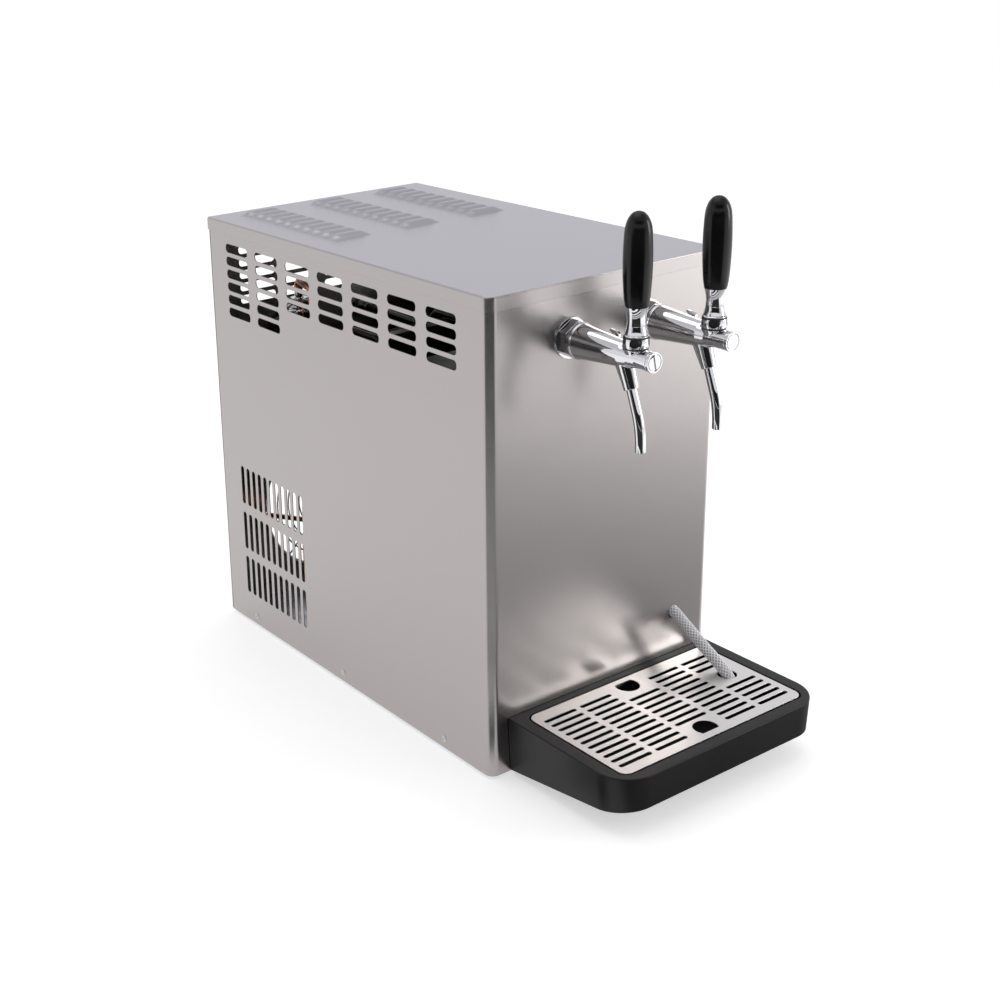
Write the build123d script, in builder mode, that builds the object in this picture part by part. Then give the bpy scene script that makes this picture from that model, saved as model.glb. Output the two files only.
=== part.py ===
"""Two-tap countertop beer cooler: sheet-metal cabinet, water-bath tank, cooling unit, taps and drip tray.

Millimetres. +Z is up, the taps face -Y, and the origin is the centre of the footprint on the counter.
"""

from build123d import *
from math import asin, cos, pi, radians, sin, sqrt, tan
import os

# ---------------------------------------------------------------- overall sizes
cabinet_width = 300      # over the lid's side bends
cabinet_depth = 500      # over the lid's front and rear bends
cabinet_height = 490     # sheet-metal body with its lid, without feet
foot_height = 4
tray_reach = 160         # how far the drip tray stands out in front of the lid
inlet_reach = 18         # how far the beer inlets stand out behind the lid

# ---------------------------------------------------------------- sheet metal
sheet = 1.0
lid_sheet = 0.8
pan_sheet = 1.2
lid_clearance = 0.2
seat_gap = 0.2           # between folded sheets that are screwed together
corner_radius = 10
lid_band = 14.5          # height of the lid's bent-down edge
pan_flange = 18

overall_length = tray_reach + cabinet_depth + inlet_reach
lid_overhang = lid_sheet + lid_clearance
lid_front = -overall_length / 2 + tray_reach
lid_rear = lid_front + cabinet_depth
body_front = lid_front + lid_overhang
body_rear = lid_rear - lid_overhang
body_half = cabinet_width / 2 - lid_overhang
wall_half = body_half - sheet                 # inner face of the side walls
wall_front = body_front + sheet               # inner face of the front
base_z = foot_height
top_z = base_z + cabinet_height
shell_top = top_z - lid_sheet

# ---------------------------------------------------------------- vents
upper_slot_height = 10
upper_slot_gap = 16
upper_slot_radius = 4.2
upper_row_pitch = 14.8
upper_row_drop = 30                           # top row's centre below the top
upper_front_margin = 47
upper_rear_margin = 35.5
upper_columns = 7
tall_columns = 2                              # the rear columns have more rows
tall_rows = 6
short_rows = 4
lower_columns = 11
lower_slot_width = 7
lower_slot_length = 47
lower_pitch = 12.35
lower_rear_margin = 43.5
lower_row_z = (61, 118, 176)                  # slot centres above the cabinet's bottom edge
rear_slot_length = 48
rear_slot_pitch = 59
rear_columns = 4
rear_rows = 6

# ---------------------------------------------------------------- lid louvres
louvre_length = 60
louvre_depth = 13
louvre_height = 3.6
louvre_pitch = 19
louvre_slot = 6
louvre_slot_length = 43
louvre_rows = 10
louvre_group_pitch = 92
louvre_rear_margin = 32

# ---------------------------------------------------------------- feet and screws
foot_radius = 15
foot_boss = 4
foot_inset = 38
screw_z = base_z + 10.5
screw_radius = 1.8
screw_head_radius = 3.6
screw_head = 0.9
rear_lip = 12

# ---------------------------------------------------------------- tank
foam = 23
liner = 1.0
tank_side_gap = 10                            # air between foam and side wall
tank_front_gap = 21
tank_depth = 315
tank_drop = 124                               # foam's top below the lid
tank_half = wall_half - tank_side_gap
tank_front = body_front + tank_front_gap
tank_rear = tank_front + tank_depth
tank_floor = base_z + sheet + pan_sheet
tank_top = top_z - tank_drop
bath_half = tank_half - foam
bath_front = tank_front + foam
bath_rear = tank_rear - foam
bath_floor = tank_floor + foam

# ---------------------------------------------------------------- taps
running = 0.1                                 # radial clearance of screwed and sliding fits
hole_play = 0.4                               # round the shanks, in the front panel
tap_spacing = 100
tap_drop = 55.5                               # tap axis below the top
tap_z = top_z - tap_drop
shank_radius = 7.95
shank_inside = 46
shank_socket = 3                              # how far the beer coil goes into the shank
ring_start = 12.6                             # coupling ring, in front of the panel
ring_end = 16.6
ring_radius = 17.6
body_root_radius = 16.8
socket_length = 8
handle_reach = 85.5                           # handle axis in front of the panel
pivot_rise = 12
pivot_seat = 8.6
ball_radius = 7.5
ball_gap = 0.3
collar_foot = 11.3
collar_radius = 12.2
collar_top = 11.2
collar_hole_radius = 4.3
collar_hole_depth = 2.6
collar_hole_rise = 6.8                        # above the collar's seat
collar_hole_turn = 38
boss_radius = 8.2
dome_radius = 14.2
dome_gap = 0.35
body_nose_radius = 9.4
body_nose_end = 106.5
plug_radius = 9.6
plug_length = 2.8
plug_skirt = 1.6
sleeve_start = 70.2
sleeve_tilt = 20
sleeve_drop = 31
sleeve_radius = 9.4
sleeve_foot_radius = 7.25
fin_thickness = 2.6
spout_radius = 5.0
spout_bore = 3.6
spout_socket = 11
spout_straight = 20
spout_drop = 87.5
spout_bend = 100
skirt_radius = 10.5
waist_radius = 8.5
neck_radius = 10.4
neck_top = 47
handle_radius = 13.3
handle_top = 132.5
stud_radius = 4
stud_length = 18
plunger_radius = 4.5
plunger_waist = 2.4
plunger_waist_half = 9                        # half the waist's length
tip_radius = 2.9
tip_drop = 10.8                               # lever's tip below its pivot
tip_gap = 0.4
tip_slot_half = 3.6                           # the lever's slot in the body, half its width
tip_slot_floor = 5.5                          # below the tap's axis
stem_radius = 2.9
stem_gap = 0.2
stem_top = 3.2
stem_foot = 1.5
notch_flare = 0.9                             # room for the tilted stem above the tip
lever_forward = 35
lever_back = 12
flow_reach = 43                               # flow lever's pivot in front of the panel
flow_seat = 12.4
flow_pin = 2.0
flow_lever_x = 16.2

# ---------------------------------------------------------------- drip tray
tray_width = 277
tray_offset = 11
tray_top = base_z + 60
tray_rear_bottom = base_z + 1
tray_front_bottom = base_z + 25
tray_corner = 36
tray_draft = 3
tray_wall = 3
tray_gap = 0.3
rim_rear = 8
rim_front = 12.5
rim_side = 14
ledge = 5
grille_gap = 2
grille_sheet = 1.0
grille_flange = 6
grille_corner = 10
grille_margin = 7.2
grille_columns = 5
grille_rows = 11
grille_slot_height = 5
grille_slot_gap = 5.8
grille_row_pitch = 10.37
finger_radius = 12.8
finger_flat = 6.5
hose_hole_radius = 10
hanger_width = 100
hanger_sheet = 1.5
hanger_gap = 3.0
hanger_lip = 14.5                             # how far the tray lifts off its hanger
hanger_play = 0.3
tray_front = -overall_length / 2
tray_rear = body_front - tray_gap
tray_x0 = tray_offset - tray_width / 2
tray_x1 = tray_offset + tray_width / 2
grille_x0 = tray_x0 + rim_side + grille_gap
grille_x1 = tray_x1 - rim_side - grille_gap
grille_y0 = tray_front + rim_front + grille_gap
grille_y1 = tray_rear - rim_rear - grille_gap
grille_bottom = tray_top - grille_flange
grille_span = grille_x1 - grille_x0 - 2 * grille_margin
grille_slot_length = (grille_span + grille_slot_gap) / grille_columns - grille_slot_gap
hanger_top = tray_top - 10
hanger_foot = hanger_top - hanger_lip
hanger_screw_z = hanger_foot - 9
hanger_plate_front = body_front - hanger_sheet
hanger_lip_front = hanger_plate_front - hanger_gap - hanger_sheet

# ---------------------------------------------------------------- drain hose
hose_radius = 5.75
hose_hole = (99.9, base_z + 107.3)            # in the front panel, x and z
hose_panel_radius = 7.2
hose_foam_gap = 0.6
hose_route = (                                # x, y behind the lid's front plane, z above the body's bottom
    (99.3, 30.0, 112.6), (99.3, 17.0, 112.6), (99.9, 4.5, 109.6), (100.8, -8.5, 101.9),
    (102.2, -25.0, 90.6), (104.2, -45.0, 77.3), (105.9, -62.0, 66.6), (106.7, -71.0, 59.4),
    (107.1, -77.0, 51.6),
)
hose_in_grille = (107.1, lid_front - 69.5)    # centre of the grille's hole, x and y
spigot_x = hose_route[0][0]
spigot_z = base_z + hose_route[0][2]
spigot_end = lid_front + hose_route[0][1]
spigot_radius = 4
spigot_flange = 2.5

# ---------------------------------------------------------------- coils in the bath
beer_tube_radius = 4.0
coil_tube_radius = 4.75
coil_gap = 4
coil_spacing = 2                              # between the cold coil, the beer feed and the beer coil
coil_bend = 9
coil_crest = 3                                # straight end above the accumulator's neck
coil_top_room = 60
beer_loop_pitch = 36
cold_loop_pitch = 44
shaft_lane = 30                               # clear lane between the beer coils for the agitator
spigot_room = 4
rest_gap = 0.3                                # between a bent tube and what it rests on
cold_inset = liner + coil_gap + coil_tube_radius
feed_inset = cold_inset + coil_tube_radius + coil_spacing + beer_tube_radius
beer_inset = feed_inset + 2 * beer_tube_radius + coil_spacing
cold_bottom = bath_floor + liner + coil_tube_radius + rest_gap
feed_bottom = bath_floor + 24
beer_bottom = feed_bottom + 22
cold_loops = int((tank_top - cold_bottom - coil_top_room) / cold_loop_pitch)
beer_loops = int((tank_top - beer_bottom - coil_top_room) / beer_loop_pitch)

# ---------------------------------------------------------------- agitator
bridge_width = 70
bridge_sheet = 2
bridge_y = (bath_front + bath_rear) / 2
bridge_z = tank_top + liner
shaft_radius = 4
shaft_bottom = bath_floor + 24
shaft_grip = 20                               # how far the shaft goes into its motor
shaft_end_gap = 2
motor_radius = 29
motor_height = 46

# ---------------------------------------------------------------- rear bay
bay_front = tank_rear + 1
shelf_z = base_z + 236
pipe_lane = 48                                # beside the condenser, for its bends and pipes
pipe_radius = 3.2
pipe_bend = 9
core_depth = 30
core_half = wall_half - pipe_lane
core_bottom = base_z + 18
core_height = 186
core_front = bay_front + 7
condenser_tube = 4.5
condenser_runs = 6
condenser_stub = 2
condenser_y = core_front + core_depth / 2
fan_x = -30
fan_z = base_z + 110
fan_hole_radius = 78
blade_radius = 74
blade_count = 5
blade_pitch = 14
fan_shaft = 3
fan_motor_length = 34
fan_motor_radius = 30
shroud_y = core_front + core_depth
fan_y = shroud_y + 14
fan_motor_front = fan_y + 13
guard_radius = 92
guard_z = base_z + 115
guard_wire = 1.2
guard_rings = 6
guard_overlap = 2.5
compressor_radius = 50
compressor_height = 150
compressor_side_gap = 6
compressor_rear_gap = 16
compressor_x = wall_half - compressor_side_gap - compressor_radius
compressor_y = body_rear - sheet - compressor_rear_gap - compressor_radius
compressor_bottom = tank_floor + 16
compressor_plate = 2.5
suction_z = compressor_bottom + 60
stub_length = 5
pipe_z = base_z + 132                         # copper pipe along the left side
grommet_neck = 4.5
accumulator_radius = 21
accumulator_x = -(wall_half - 32 - accumulator_radius)
accumulator_y = body_rear - 99
accumulator_top = top_z - 85
accumulator_neck = accumulator_top + 8

# ---------------------------------------------------------------- rear fittings
panel_z = base_z + 262                        # height of the controls on the rear panel
mains_x = 108
mains_half = (13.6, 10.0)
switch_x = 62
switch_half = (9.5, 14.0)
rocker_half = 7.6
rocker_depth = 3
rocker_pin = 1.2
rocker_angle = 8
thermostat_x = 6
thermostat_bush = 5
thermostat_spindle = 3
cutout_clearance = 0.2
inlet_x = 60
inlet_z = tank_top - 16
inlet_radius = 4.76
inlet_thread = 8
inlet_inner = body_rear - sheet - 14


# ---------------------------------------------------------------- helpers
def block(x0, x1, y0, y1, z0, z1, mode=Mode.ADD):
    """A box between two corners, added to the piece being built."""
    with Locations(((x0 + x1) / 2, (y0 + y1) / 2, (z0 + z1) / 2)):
        Box(x1 - x0, y1 - y0, z1 - z0, mode=mode)


def rod(start, end, radius, end_radius=None, mode=Mode.ADD):
    """A round bar, or a cone, from one point to another."""
    axis = Vector(*end) - Vector(*start)
    with Locations(Plane(origin=start, z_dir=axis).location):
        if end_radius is None:
            Cylinder(radius, axis.length, align=(Align.CENTER, Align.CENTER, Align.MIN), mode=mode)
        else:
            Cone(radius, end_radius, axis.length, align=(Align.CENTER, Align.CENTER, Align.MIN), mode=mode)


def tube(points, radii, radius, bore=0):
    """A bent tube: straight runs through the points, joined by tangent arcs."""
    with BuildPart() as pipe:
        with BuildLine() as route:
            FilletPolyline(*points, radius=radii)
        with BuildSketch(Plane(origin=route.line @ 0, z_dir=route.line % 0)):
            Circle(radius)
            if bore:
                Circle(bore, mode=Mode.SUBTRACT)
        sweep()
    return pipe.part


def gentle_radii(points, share=0.45):
    """The largest arc that the two runs at each corner allow."""
    radii = []
    for before, corner, after in zip(points, points[1:], points[2:]):
        run_in = Vector(*corner) - Vector(*before)
        run_out = Vector(*after) - Vector(*corner)
        turn = radians(run_in.get_angle(run_out))
        radii.append(share * min(run_in.length, run_out.length) / tan(turn / 2))
    return radii


def slot_sheet(centres, length, height, radius, plane, depth):
    """Rounded slots through a sheet, at places on a plane, cut from the piece being built."""
    with BuildSketch(plane) as cut:
        with Locations(*centres):
            RectangleRounded(length, height, radius)
    extrude(cut.sketch, amount=depth, mode=Mode.SUBTRACT)


def hexagon(start, end, across_flats, bore):
    """A hexagonal nut between two points, with its bore."""
    axis = Vector(*end) - Vector(*start)
    with BuildSketch(Plane(origin=start, z_dir=axis)) as shape:
        RegularPolygon(across_flats / 2, 6, major_radius=False)
        Circle(bore, mode=Mode.SUBTRACT)
    extrude(shape.sketch, amount=axis.length)


# ---------------------------------------------------------------- cabinet
def upper_slot_places():
    """Centres (along Y, up Z) and length of the slots high on each side."""
    span = body_rear - body_front - upper_front_margin - upper_rear_margin
    pitch = (span + upper_slot_gap) / upper_columns
    places = []
    for column in range(upper_columns):
        y = body_rear - upper_rear_margin - (column + 0.5) * pitch + upper_slot_gap / 2
        rows = tall_rows if column < tall_columns else short_rows
        places += [(y, top_z - upper_row_drop - row * upper_row_pitch) for row in range(rows)]
    return places, pitch - upper_slot_gap


def lower_slot_places():
    """Centres (along Y, up Z) of the slots low on each side."""
    first = body_rear - lower_rear_margin
    columns = [first - column * lower_pitch for column in range(lower_columns)]
    return [(y, base_z + z) for y in columns for z in lower_row_z]


def side_screw_places():
    """Where the side screws stand, along Y."""
    return [body_front + 75, (body_front + body_rear) / 2 + 8.5, body_rear - 58]


def make_base_pan():
    """Folded pan that carries the tank and the cooling unit."""
    outer = wall_half - seat_gap
    front, rear = wall_front + seat_gap, body_rear - sheet - seat_gap
    bottom = base_z + sheet
    with BuildPart() as base_pan:
        block(-outer, outer, front, rear, bottom, bottom + pan_flange)
        bend = corner_radius - sheet - seat_gap
        fillet(base_pan.edges().filter_by(Axis.Z).group_by(Axis.Y)[0], bend)
        inside = base_pan.faces().sort_by(Axis.Z)[-1]
        offset(amount=-pan_sheet, openings=inside)
        for x, y in foot_places():
            rod((x, y, bottom), (x, y, bottom + pan_sheet), foot_boss + running, mode=Mode.SUBTRACT)
    return base_pan.part


def foot_places():
    """Four feet, set in from the corners of the cabinet."""
    xs = (-body_half + foot_inset, body_half - foot_inset)
    ys = (body_front + foot_inset, body_rear - foot_inset)
    return [(x, y) for x in xs for y in ys]


def make_feet():
    """Four rubber feet with bosses through the pan."""
    with BuildPart() as feet:
        for x, y in foot_places():
            rod((x, y, 0), (x, y, base_z + sheet), foot_radius - 2, foot_radius)
            rod((x, y, base_z + sheet), (x, y, base_z + sheet + pan_sheet - 0.2), foot_boss)
    return feet.part


def make_cabinet_wrap():
    """Front and both sides, folded from one sheet with rounded front corners."""
    rear = body_rear - sheet
    with BuildPart() as cabinet_wrap:
        with BuildSketch(Plane.XY.offset(base_z)) as plan:
            with BuildLine():
                Polyline((-body_half, rear), (-body_half, body_front), (body_half, body_front),
                         (body_half, rear), close=True)
            make_face()
            fillet(plan.vertices().group_by(Axis.Y)[0], corner_radius)
        extrude(amount=shell_top - base_z)
        with BuildSketch(Plane.XY.offset(base_z)) as hollow:
            with BuildLine():
                Polyline((-wall_half, rear + 1), (-wall_half, wall_front), (wall_half, wall_front),
                         (wall_half, rear + 1), close=True)
            make_face()
            fillet(hollow.vertices().group_by(Axis.Y)[0], corner_radius - sheet)
        extrude(amount=shell_top - base_z, mode=Mode.SUBTRACT)
        for side in (-1, 1):
            inner, lip = side * wall_half, side * (wall_half - rear_lip)
            block(min(inner, lip), max(inner, lip), rear - sheet, rear, base_z + pan_flange + 4, shell_top)
        places, length = upper_slot_places()
        across = Plane(origin=(-body_half - 1, 0, 0), x_dir=(0, 1, 0), z_dir=(1, 0, 0))
        slot_sheet(places, length, upper_slot_height, upper_slot_radius, across, 2 * body_half + 2)
        slot_sheet(lower_slot_places(), lower_slot_width, lower_slot_length, lower_slot_width / 2 - 0.05,
                   across, 2 * body_half + 2)
        for x in (-tap_spacing / 2, tap_spacing / 2):
            rod((x, body_front - 1, tap_z), (x, wall_front + 1, tap_z), shank_radius + hole_play,
                mode=Mode.SUBTRACT)
        hose_x, hose_z = hose_hole
        rod((hose_x, body_front - 1, hose_z), (hose_x, wall_front + 1, hose_z), hose_panel_radius,
            mode=Mode.SUBTRACT)
        for y in side_screw_places():
            rod((-body_half - 1, y, screw_z), (body_half + 1, y, screw_z), screw_radius + running,
                mode=Mode.SUBTRACT)
        for x in hanger_screw_places():
            rod((x, body_front - 1, hanger_screw_z), (x, wall_front + 1, hanger_screw_z),
                screw_radius + running, mode=Mode.SUBTRACT)
    return cabinet_wrap.part


def rear_screw_places():
    """Where the rear panel is screwed to the cabinet's rear lips."""
    return [(side * (wall_half - rear_lip / 2), z) for side in (-1, 1)
            for z in (base_z + 60, base_z + 225, base_z + 340, shell_top - 60)]


def make_rear_panel():
    """Rear sheet with the exhaust opening, the upper slots and the holes for the rear fittings."""
    front = body_rear - sheet
    with BuildPart() as rear_panel:
        block(-body_half, body_half, front, body_rear, base_z, shell_top)
        upright = Plane(origin=(0, body_rear + 1, 0), x_dir=(1, 0, 0), z_dir=(0, -1, 0))
        columns = [(column - (rear_columns - 1) / 2) * rear_slot_pitch for column in range(rear_columns)]
        rows = [top_z - upper_row_drop - row * upper_row_pitch for row in range(rear_rows)]
        slot_sheet([(x, z) for x in columns for z in rows], rear_slot_length, upper_slot_height,
                   upper_slot_radius, upright, sheet + 2)
        rod((0, front - 1, guard_z), (0, body_rear + 1, guard_z), guard_radius, mode=Mode.SUBTRACT)
        for x in (-inlet_x, inlet_x):
            rod((x, front - 1, inlet_z), (x, body_rear + 1, inlet_z), inlet_thread + running,
                mode=Mode.SUBTRACT)
        for x, (half_x, half_z) in ((mains_x, mains_half), (switch_x, switch_half)):
            half_x, half_z = half_x + cutout_clearance, half_z + cutout_clearance
            block(x - half_x, x + half_x, front - 1, body_rear + 1, panel_z - half_z, panel_z + half_z,
                  mode=Mode.SUBTRACT)
        rod((thermostat_x, front - 1, panel_z), (thermostat_x, body_rear + 1, panel_z),
            thermostat_bush + running, mode=Mode.SUBTRACT)
        for x, z in rear_screw_places():
            rod((x, front - 1, z), (x, body_rear + 1, z), screw_radius + running, mode=Mode.SUBTRACT)
    return rear_panel.part


def louvre_places():
    """Centres of the raised louvres on the lid."""
    first = lid_rear - louvre_rear_margin
    return [(group * louvre_group_pitch, first - row * louvre_pitch) for group in (-1, 0, 1)
            for row in range(louvre_rows)]


def louvre_hood(shrink):
    """One louvre's hood, ramped at its front and ends and square at its open rear edge."""
    length, depth, height = louvre_length - 2 * shrink, louvre_depth, louvre_height - shrink
    with BuildPart() as hood:
        Box(length, depth, height, align=(Align.CENTER, Align.CENTER, Align.MIN))
        ridge = hood.faces().sort_by(Axis.Z)[-1]
        ends = ridge.edges().filter_by(Axis.Y)
        chamfer(ends, length=height * 2.4, length2=height * 0.96, reference=ridge)
        ridge = hood.faces().sort_by(Axis.Z)[-1]
        front = ridge.edges().sort_by(Axis.Y)[0]
        chamfer(front, length=depth * 0.72, length2=height * 0.96, reference=ridge)
    return hood.part


def make_lid():
    """Lift-off lid: bent-down edges, a seam along the front, and raised louvres over the rear half."""
    half = cabinet_width / 2
    with BuildPart() as lid:
        with BuildSketch(Plane.XY.offset(top_z - lid_band)) as plan:
            with Locations((0, (lid_front + lid_rear) / 2)):
                Rectangle(cabinet_width, cabinet_depth)
            fillet(plan.vertices().group_by(Axis.Y)[0], corner_radius)
        extrude(amount=lid_band)
        soft = lid.faces().sort_by(Axis.Z)[-1].edges().filter_by(Axis.Y)
        fillet(soft, 2.2)
        with BuildSketch(Plane.XY.offset(top_z - lid_band)) as hollow:
            with Locations((0, (lid_front + lid_rear) / 2)):
                Rectangle(cabinet_width - 2 * lid_sheet, cabinet_depth - 2 * lid_sheet)
            fillet(hollow.vertices().group_by(Axis.Y)[0], corner_radius - lid_sheet)
        extrude(amount=lid_band - lid_sheet, mode=Mode.SUBTRACT)
        groove = 0.4
        block(-half + corner_radius, half - corner_radius, lid_front, lid_front + groove,
              top_z - lid_sheet, top_z - lid_sheet + groove, mode=Mode.SUBTRACT)
        outer = louvre_hood(0)
        inner = louvre_hood(lid_sheet)
        with Locations(*[(x, y, top_z) for x, y in louvre_places()]):
            add(outer)
        with Locations(*[(x, y + lid_sheet, top_z) for x, y in louvre_places()]):
            add(inner, mode=Mode.SUBTRACT)
        slot_y = (louvre_depth - louvre_slot) / 2
        with Locations(*[(x, y + slot_y, top_z - lid_sheet) for x, y in louvre_places()]):
            Box(louvre_slot_length, louvre_slot, 2 * lid_sheet, mode=Mode.SUBTRACT)
    return lid.part


def make_cabinet_screws():
    """Pan-head screws: three low on each side, and the rear panel's row on each edge."""
    with BuildPart() as screws:
        for side in (-1, 1):
            for y in side_screw_places():
                rod((side * body_half, y, screw_z), (side * (body_half + screw_head), y, screw_z),
                    screw_head_radius, screw_head_radius - 0.8)
                rod((side * body_half, y, screw_z), (side * (wall_half - 0.1), y, screw_z), screw_radius)
        for x, z in rear_screw_places():
            rod((x, body_rear, z), (x, body_rear + screw_head, z), screw_head_radius,
                screw_head_radius - 0.8)
            rod((x, body_rear - sheet, z), (x, body_rear, z), screw_radius)
    return screws.part


# ---------------------------------------------------------------- tank
def make_tank_insulation():
    """Foam box round the water bath, open at the top."""
    with BuildPart() as tank_insulation:
        block(-tank_half, tank_half, tank_front, tank_rear, tank_floor, tank_top)
        block(-bath_half, bath_half, bath_front, bath_rear, bath_floor, tank_top, mode=Mode.SUBTRACT)
        rod((spigot_x, tank_front - 1, spigot_z), (spigot_x, bath_front + 1, spigot_z),
            hose_radius + hose_foam_gap, mode=Mode.SUBTRACT)
    return tank_insulation.part


def make_tank_liner():
    """Stainless liner with a rim turned out over the foam."""
    with BuildPart() as tank_liner:
        block(-bath_half, bath_half, bath_front, bath_rear, bath_floor, tank_top)
        block(-bath_half - foam / 2, bath_half + foam / 2, bath_front - foam / 2, bath_rear + foam / 2,
              tank_top, tank_top + liner)
        block(-bath_half + liner, bath_half - liner, bath_front + liner, bath_rear - liner,
              bath_floor + liner, tank_top + liner, mode=Mode.SUBTRACT)
        rod((spigot_x, bath_front - 1, spigot_z), (spigot_x, bath_front + liner + 1, spigot_z),
            spigot_radius + running, mode=Mode.SUBTRACT)
    return tank_liner.part


def make_drain_spigot():
    """Overflow spigot through the liner and the foam, which the drain hose is pushed on."""
    flange = bath_front + liner
    with BuildPart() as drain_spigot:
        rod((spigot_x, flange + spigot_room, spigot_z), (spigot_x, spigot_end, spigot_z), spigot_radius)
        rod((spigot_x, flange, spigot_z), (spigot_x, flange + spigot_flange, spigot_z), 2 * spigot_radius)
        rod((spigot_x, flange + spigot_room + 1, spigot_z), (spigot_x, spigot_end - 1, spigot_z),
            spigot_radius - 1.2, mode=Mode.SUBTRACT)
    return drain_spigot.part


def make_drain_hose():
    """Braided hose from the spigot through the front panel down into the drip tray."""
    points = [(x, lid_front + y, base_z + z) for x, y, z in hose_route]
    radii = gentle_radii(points)
    print("drain_hose radii", [round(radius, 1) for radius in radii])
    hose = tube(points, radii, hose_radius)
    length = hose.volume / (pi * hose_radius ** 2)
    print("drain_hose length", round(length, 1), "of runs",
          round(sum((Vector(*b) - Vector(*a)).length for a, b in zip(points, points[1:])), 1))
    return hose


def racetrack(x0, x1, y0, y1, bottom, loops, pitch):
    """Corner points of a rising rectangular coil, four to a turn."""
    corners = [(x0, y0), (x1, y0), (x1, y1), (x0, y1)]
    return [(*corners[step % 4], bottom + step * pitch / 4) for step in range(4 * loops)]



def make_evaporator_coil():
    """Refrigerant coil along the walls of the bath, led over the rear rim to the accumulator."""
    half, front = bath_half - cold_inset, bath_front + cold_inset + spigot_room
    rear = bath_rear - cold_inset
    over = tank_top + liner + coil_tube_radius + rest_gap
    behind, top = tank_rear + 16, accumulator_neck + coil_bend + coil_crest
    points = racetrack(-half, half, front, rear, cold_bottom, cold_loops, cold_loop_pitch)
    points += [(-half, rear, over), (-half, behind, over), (-half, behind + 4, top),
               (accumulator_x, accumulator_y, top), (accumulator_x, accumulator_y, accumulator_neck)]
    return tube(points, [coil_bend] * (len(points) - 2), coil_tube_radius)


def make_beer_coil(side):
    """Stainless beer coil: from the rear inlet over the tank wall, down the bath and up to the tap shank."""
    inner, outer = side * (shaft_lane / 2 + beer_tube_radius), side * (bath_half - beer_inset)
    front, rear = bath_front + beer_inset, bath_rear - beer_inset
    inlet, tap_x = side * inlet_x, side * tap_spacing / 2
    over = tank_top + liner + beer_tube_radius + rest_gap
    feed_y = bath_rear - feed_inset
    feed = [(inlet, inlet_inner, inlet_z), (inlet, tank_rear + 34, inlet_z), (inlet, tank_rear + 10, over),
            (inlet, feed_y, over), (inlet, feed_y, feed_bottom), (outer, front + 60, feed_bottom + 2)]
    turns = racetrack(outer, inner, front, rear, beer_bottom, beer_loops, beer_loop_pitch)
    end_y = body_front + shank_inside - shank_socket
    riser = [(outer, front + 20, turns[-1][2] + 12), (tap_x, front + 18, tap_z - 30),
             (tap_x, end_y + 34, tap_z), (tap_x, end_y, tap_z)]
    points = feed + turns + riser
    return tube(points, [coil_bend] * (len(points) - 2), beer_tube_radius)


# ---------------------------------------------------------------- agitator


def make_agitator_bridge():
    """Folded strip across the bath that carries the agitator motor."""
    reach = bath_half + foam / 2 - 2
    with BuildPart() as agitator_bridge:
        block(-reach, reach, bridge_y - bridge_width / 2, bridge_y + bridge_width / 2, bridge_z,
              bridge_z + bridge_sheet)
        for edge in (-1, 1):
            y0 = bridge_y + edge * bridge_width / 2
            block(-bath_half + 14, bath_half - 14, min(y0, y0 - edge * bridge_sheet),
                  max(y0, y0 - edge * bridge_sheet), bridge_z - 12, bridge_z)
        rod((0, bridge_y, bridge_z - 1), (0, bridge_y, bridge_z + bridge_sheet + 1), 12, mode=Mode.SUBTRACT)
    return agitator_bridge.part


def make_agitator_motor():
    """Round motor can with its flange and a bore for the shaft."""
    bottom = bridge_z + bridge_sheet
    with BuildPart() as agitator_motor:
        rod((0, bridge_y, bottom), (0, bridge_y, bottom + 3), motor_radius + 5)
        rod((0, bridge_y, bottom + 3), (0, bridge_y, bottom + motor_height), motor_radius)
        fillet(agitator_motor.edges().sort_by(Axis.Z)[-1], 4)
        rod((0, bridge_y, bottom), (0, bridge_y, bottom + shaft_grip + shaft_end_gap),
            shaft_radius + running, mode=Mode.SUBTRACT)
    return agitator_motor.part


def make_agitator_rotor():
    """Shaft with a four-bladed impeller near the bottom of the bath."""
    top = bridge_z + bridge_sheet + shaft_grip
    with BuildPart() as agitator_rotor:
        rod((0, bridge_y, shaft_bottom), (0, bridge_y, top), shaft_radius)
        rod((0, bridge_y, shaft_bottom), (0, bridge_y, shaft_bottom + 16), 8)
        for angle in (20, 110, 200, 290):
            hub = Location((0, bridge_y, shaft_bottom + 8), (0, 0, angle))
            with Locations(hub * Location((6, 0, 0), (35, 0, 0))):
                Box(13, 2, 13, align=(Align.MIN, Align.CENTER, Align.CENTER))
    return agitator_rotor.part


# ---------------------------------------------------------------- cooling unit


def make_condenser_core():
    """Fin block with end plates, drilled for its tubes."""
    top = core_bottom + core_height
    with BuildPart() as condenser_core:
        block(-core_half, core_half, core_front, core_front + core_depth, core_bottom, top)
        block(-core_half + 3, core_half - 3, core_front - 1, core_front + 1.5, core_bottom + 4, top - 4,
              mode=Mode.SUBTRACT)
        for z in condenser_rows():
            rod((-core_half - 1, condenser_y, z), (core_half + 1, condenser_y, z), condenser_tube + running,
                mode=Mode.SUBTRACT)
        for x in (-core_half + 12, core_half - 12):
            block(x - 6, x + 6, core_front, core_front + core_depth, tank_floor, core_bottom)
    return condenser_core.part



def condenser_rows():
    """Heights of the condenser's straight tubes."""
    pitch = core_height / condenser_runs
    return [core_bottom + (row + 0.5) * pitch for row in range(condenser_runs)]


def make_condenser_tubes():
    """Copper serpentine through the fins."""
    reach = core_half + 16
    rows = condenser_rows()
    points = []
    for row, z in enumerate(rows):
        ends = (-reach, reach) if row % 2 == 0 else (reach, -reach)
        points += [(end, condenser_y, z) for end in ends]
    points[0] = (-core_half - condenser_stub, condenser_y, rows[0])
    points[-1] = (-core_half - condenser_stub, condenser_y, rows[-1])
    bend = (rows[1] - rows[0]) / 2 - 0.3
    return tube(points, [bend] * (len(points) - 2), condenser_tube)


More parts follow.
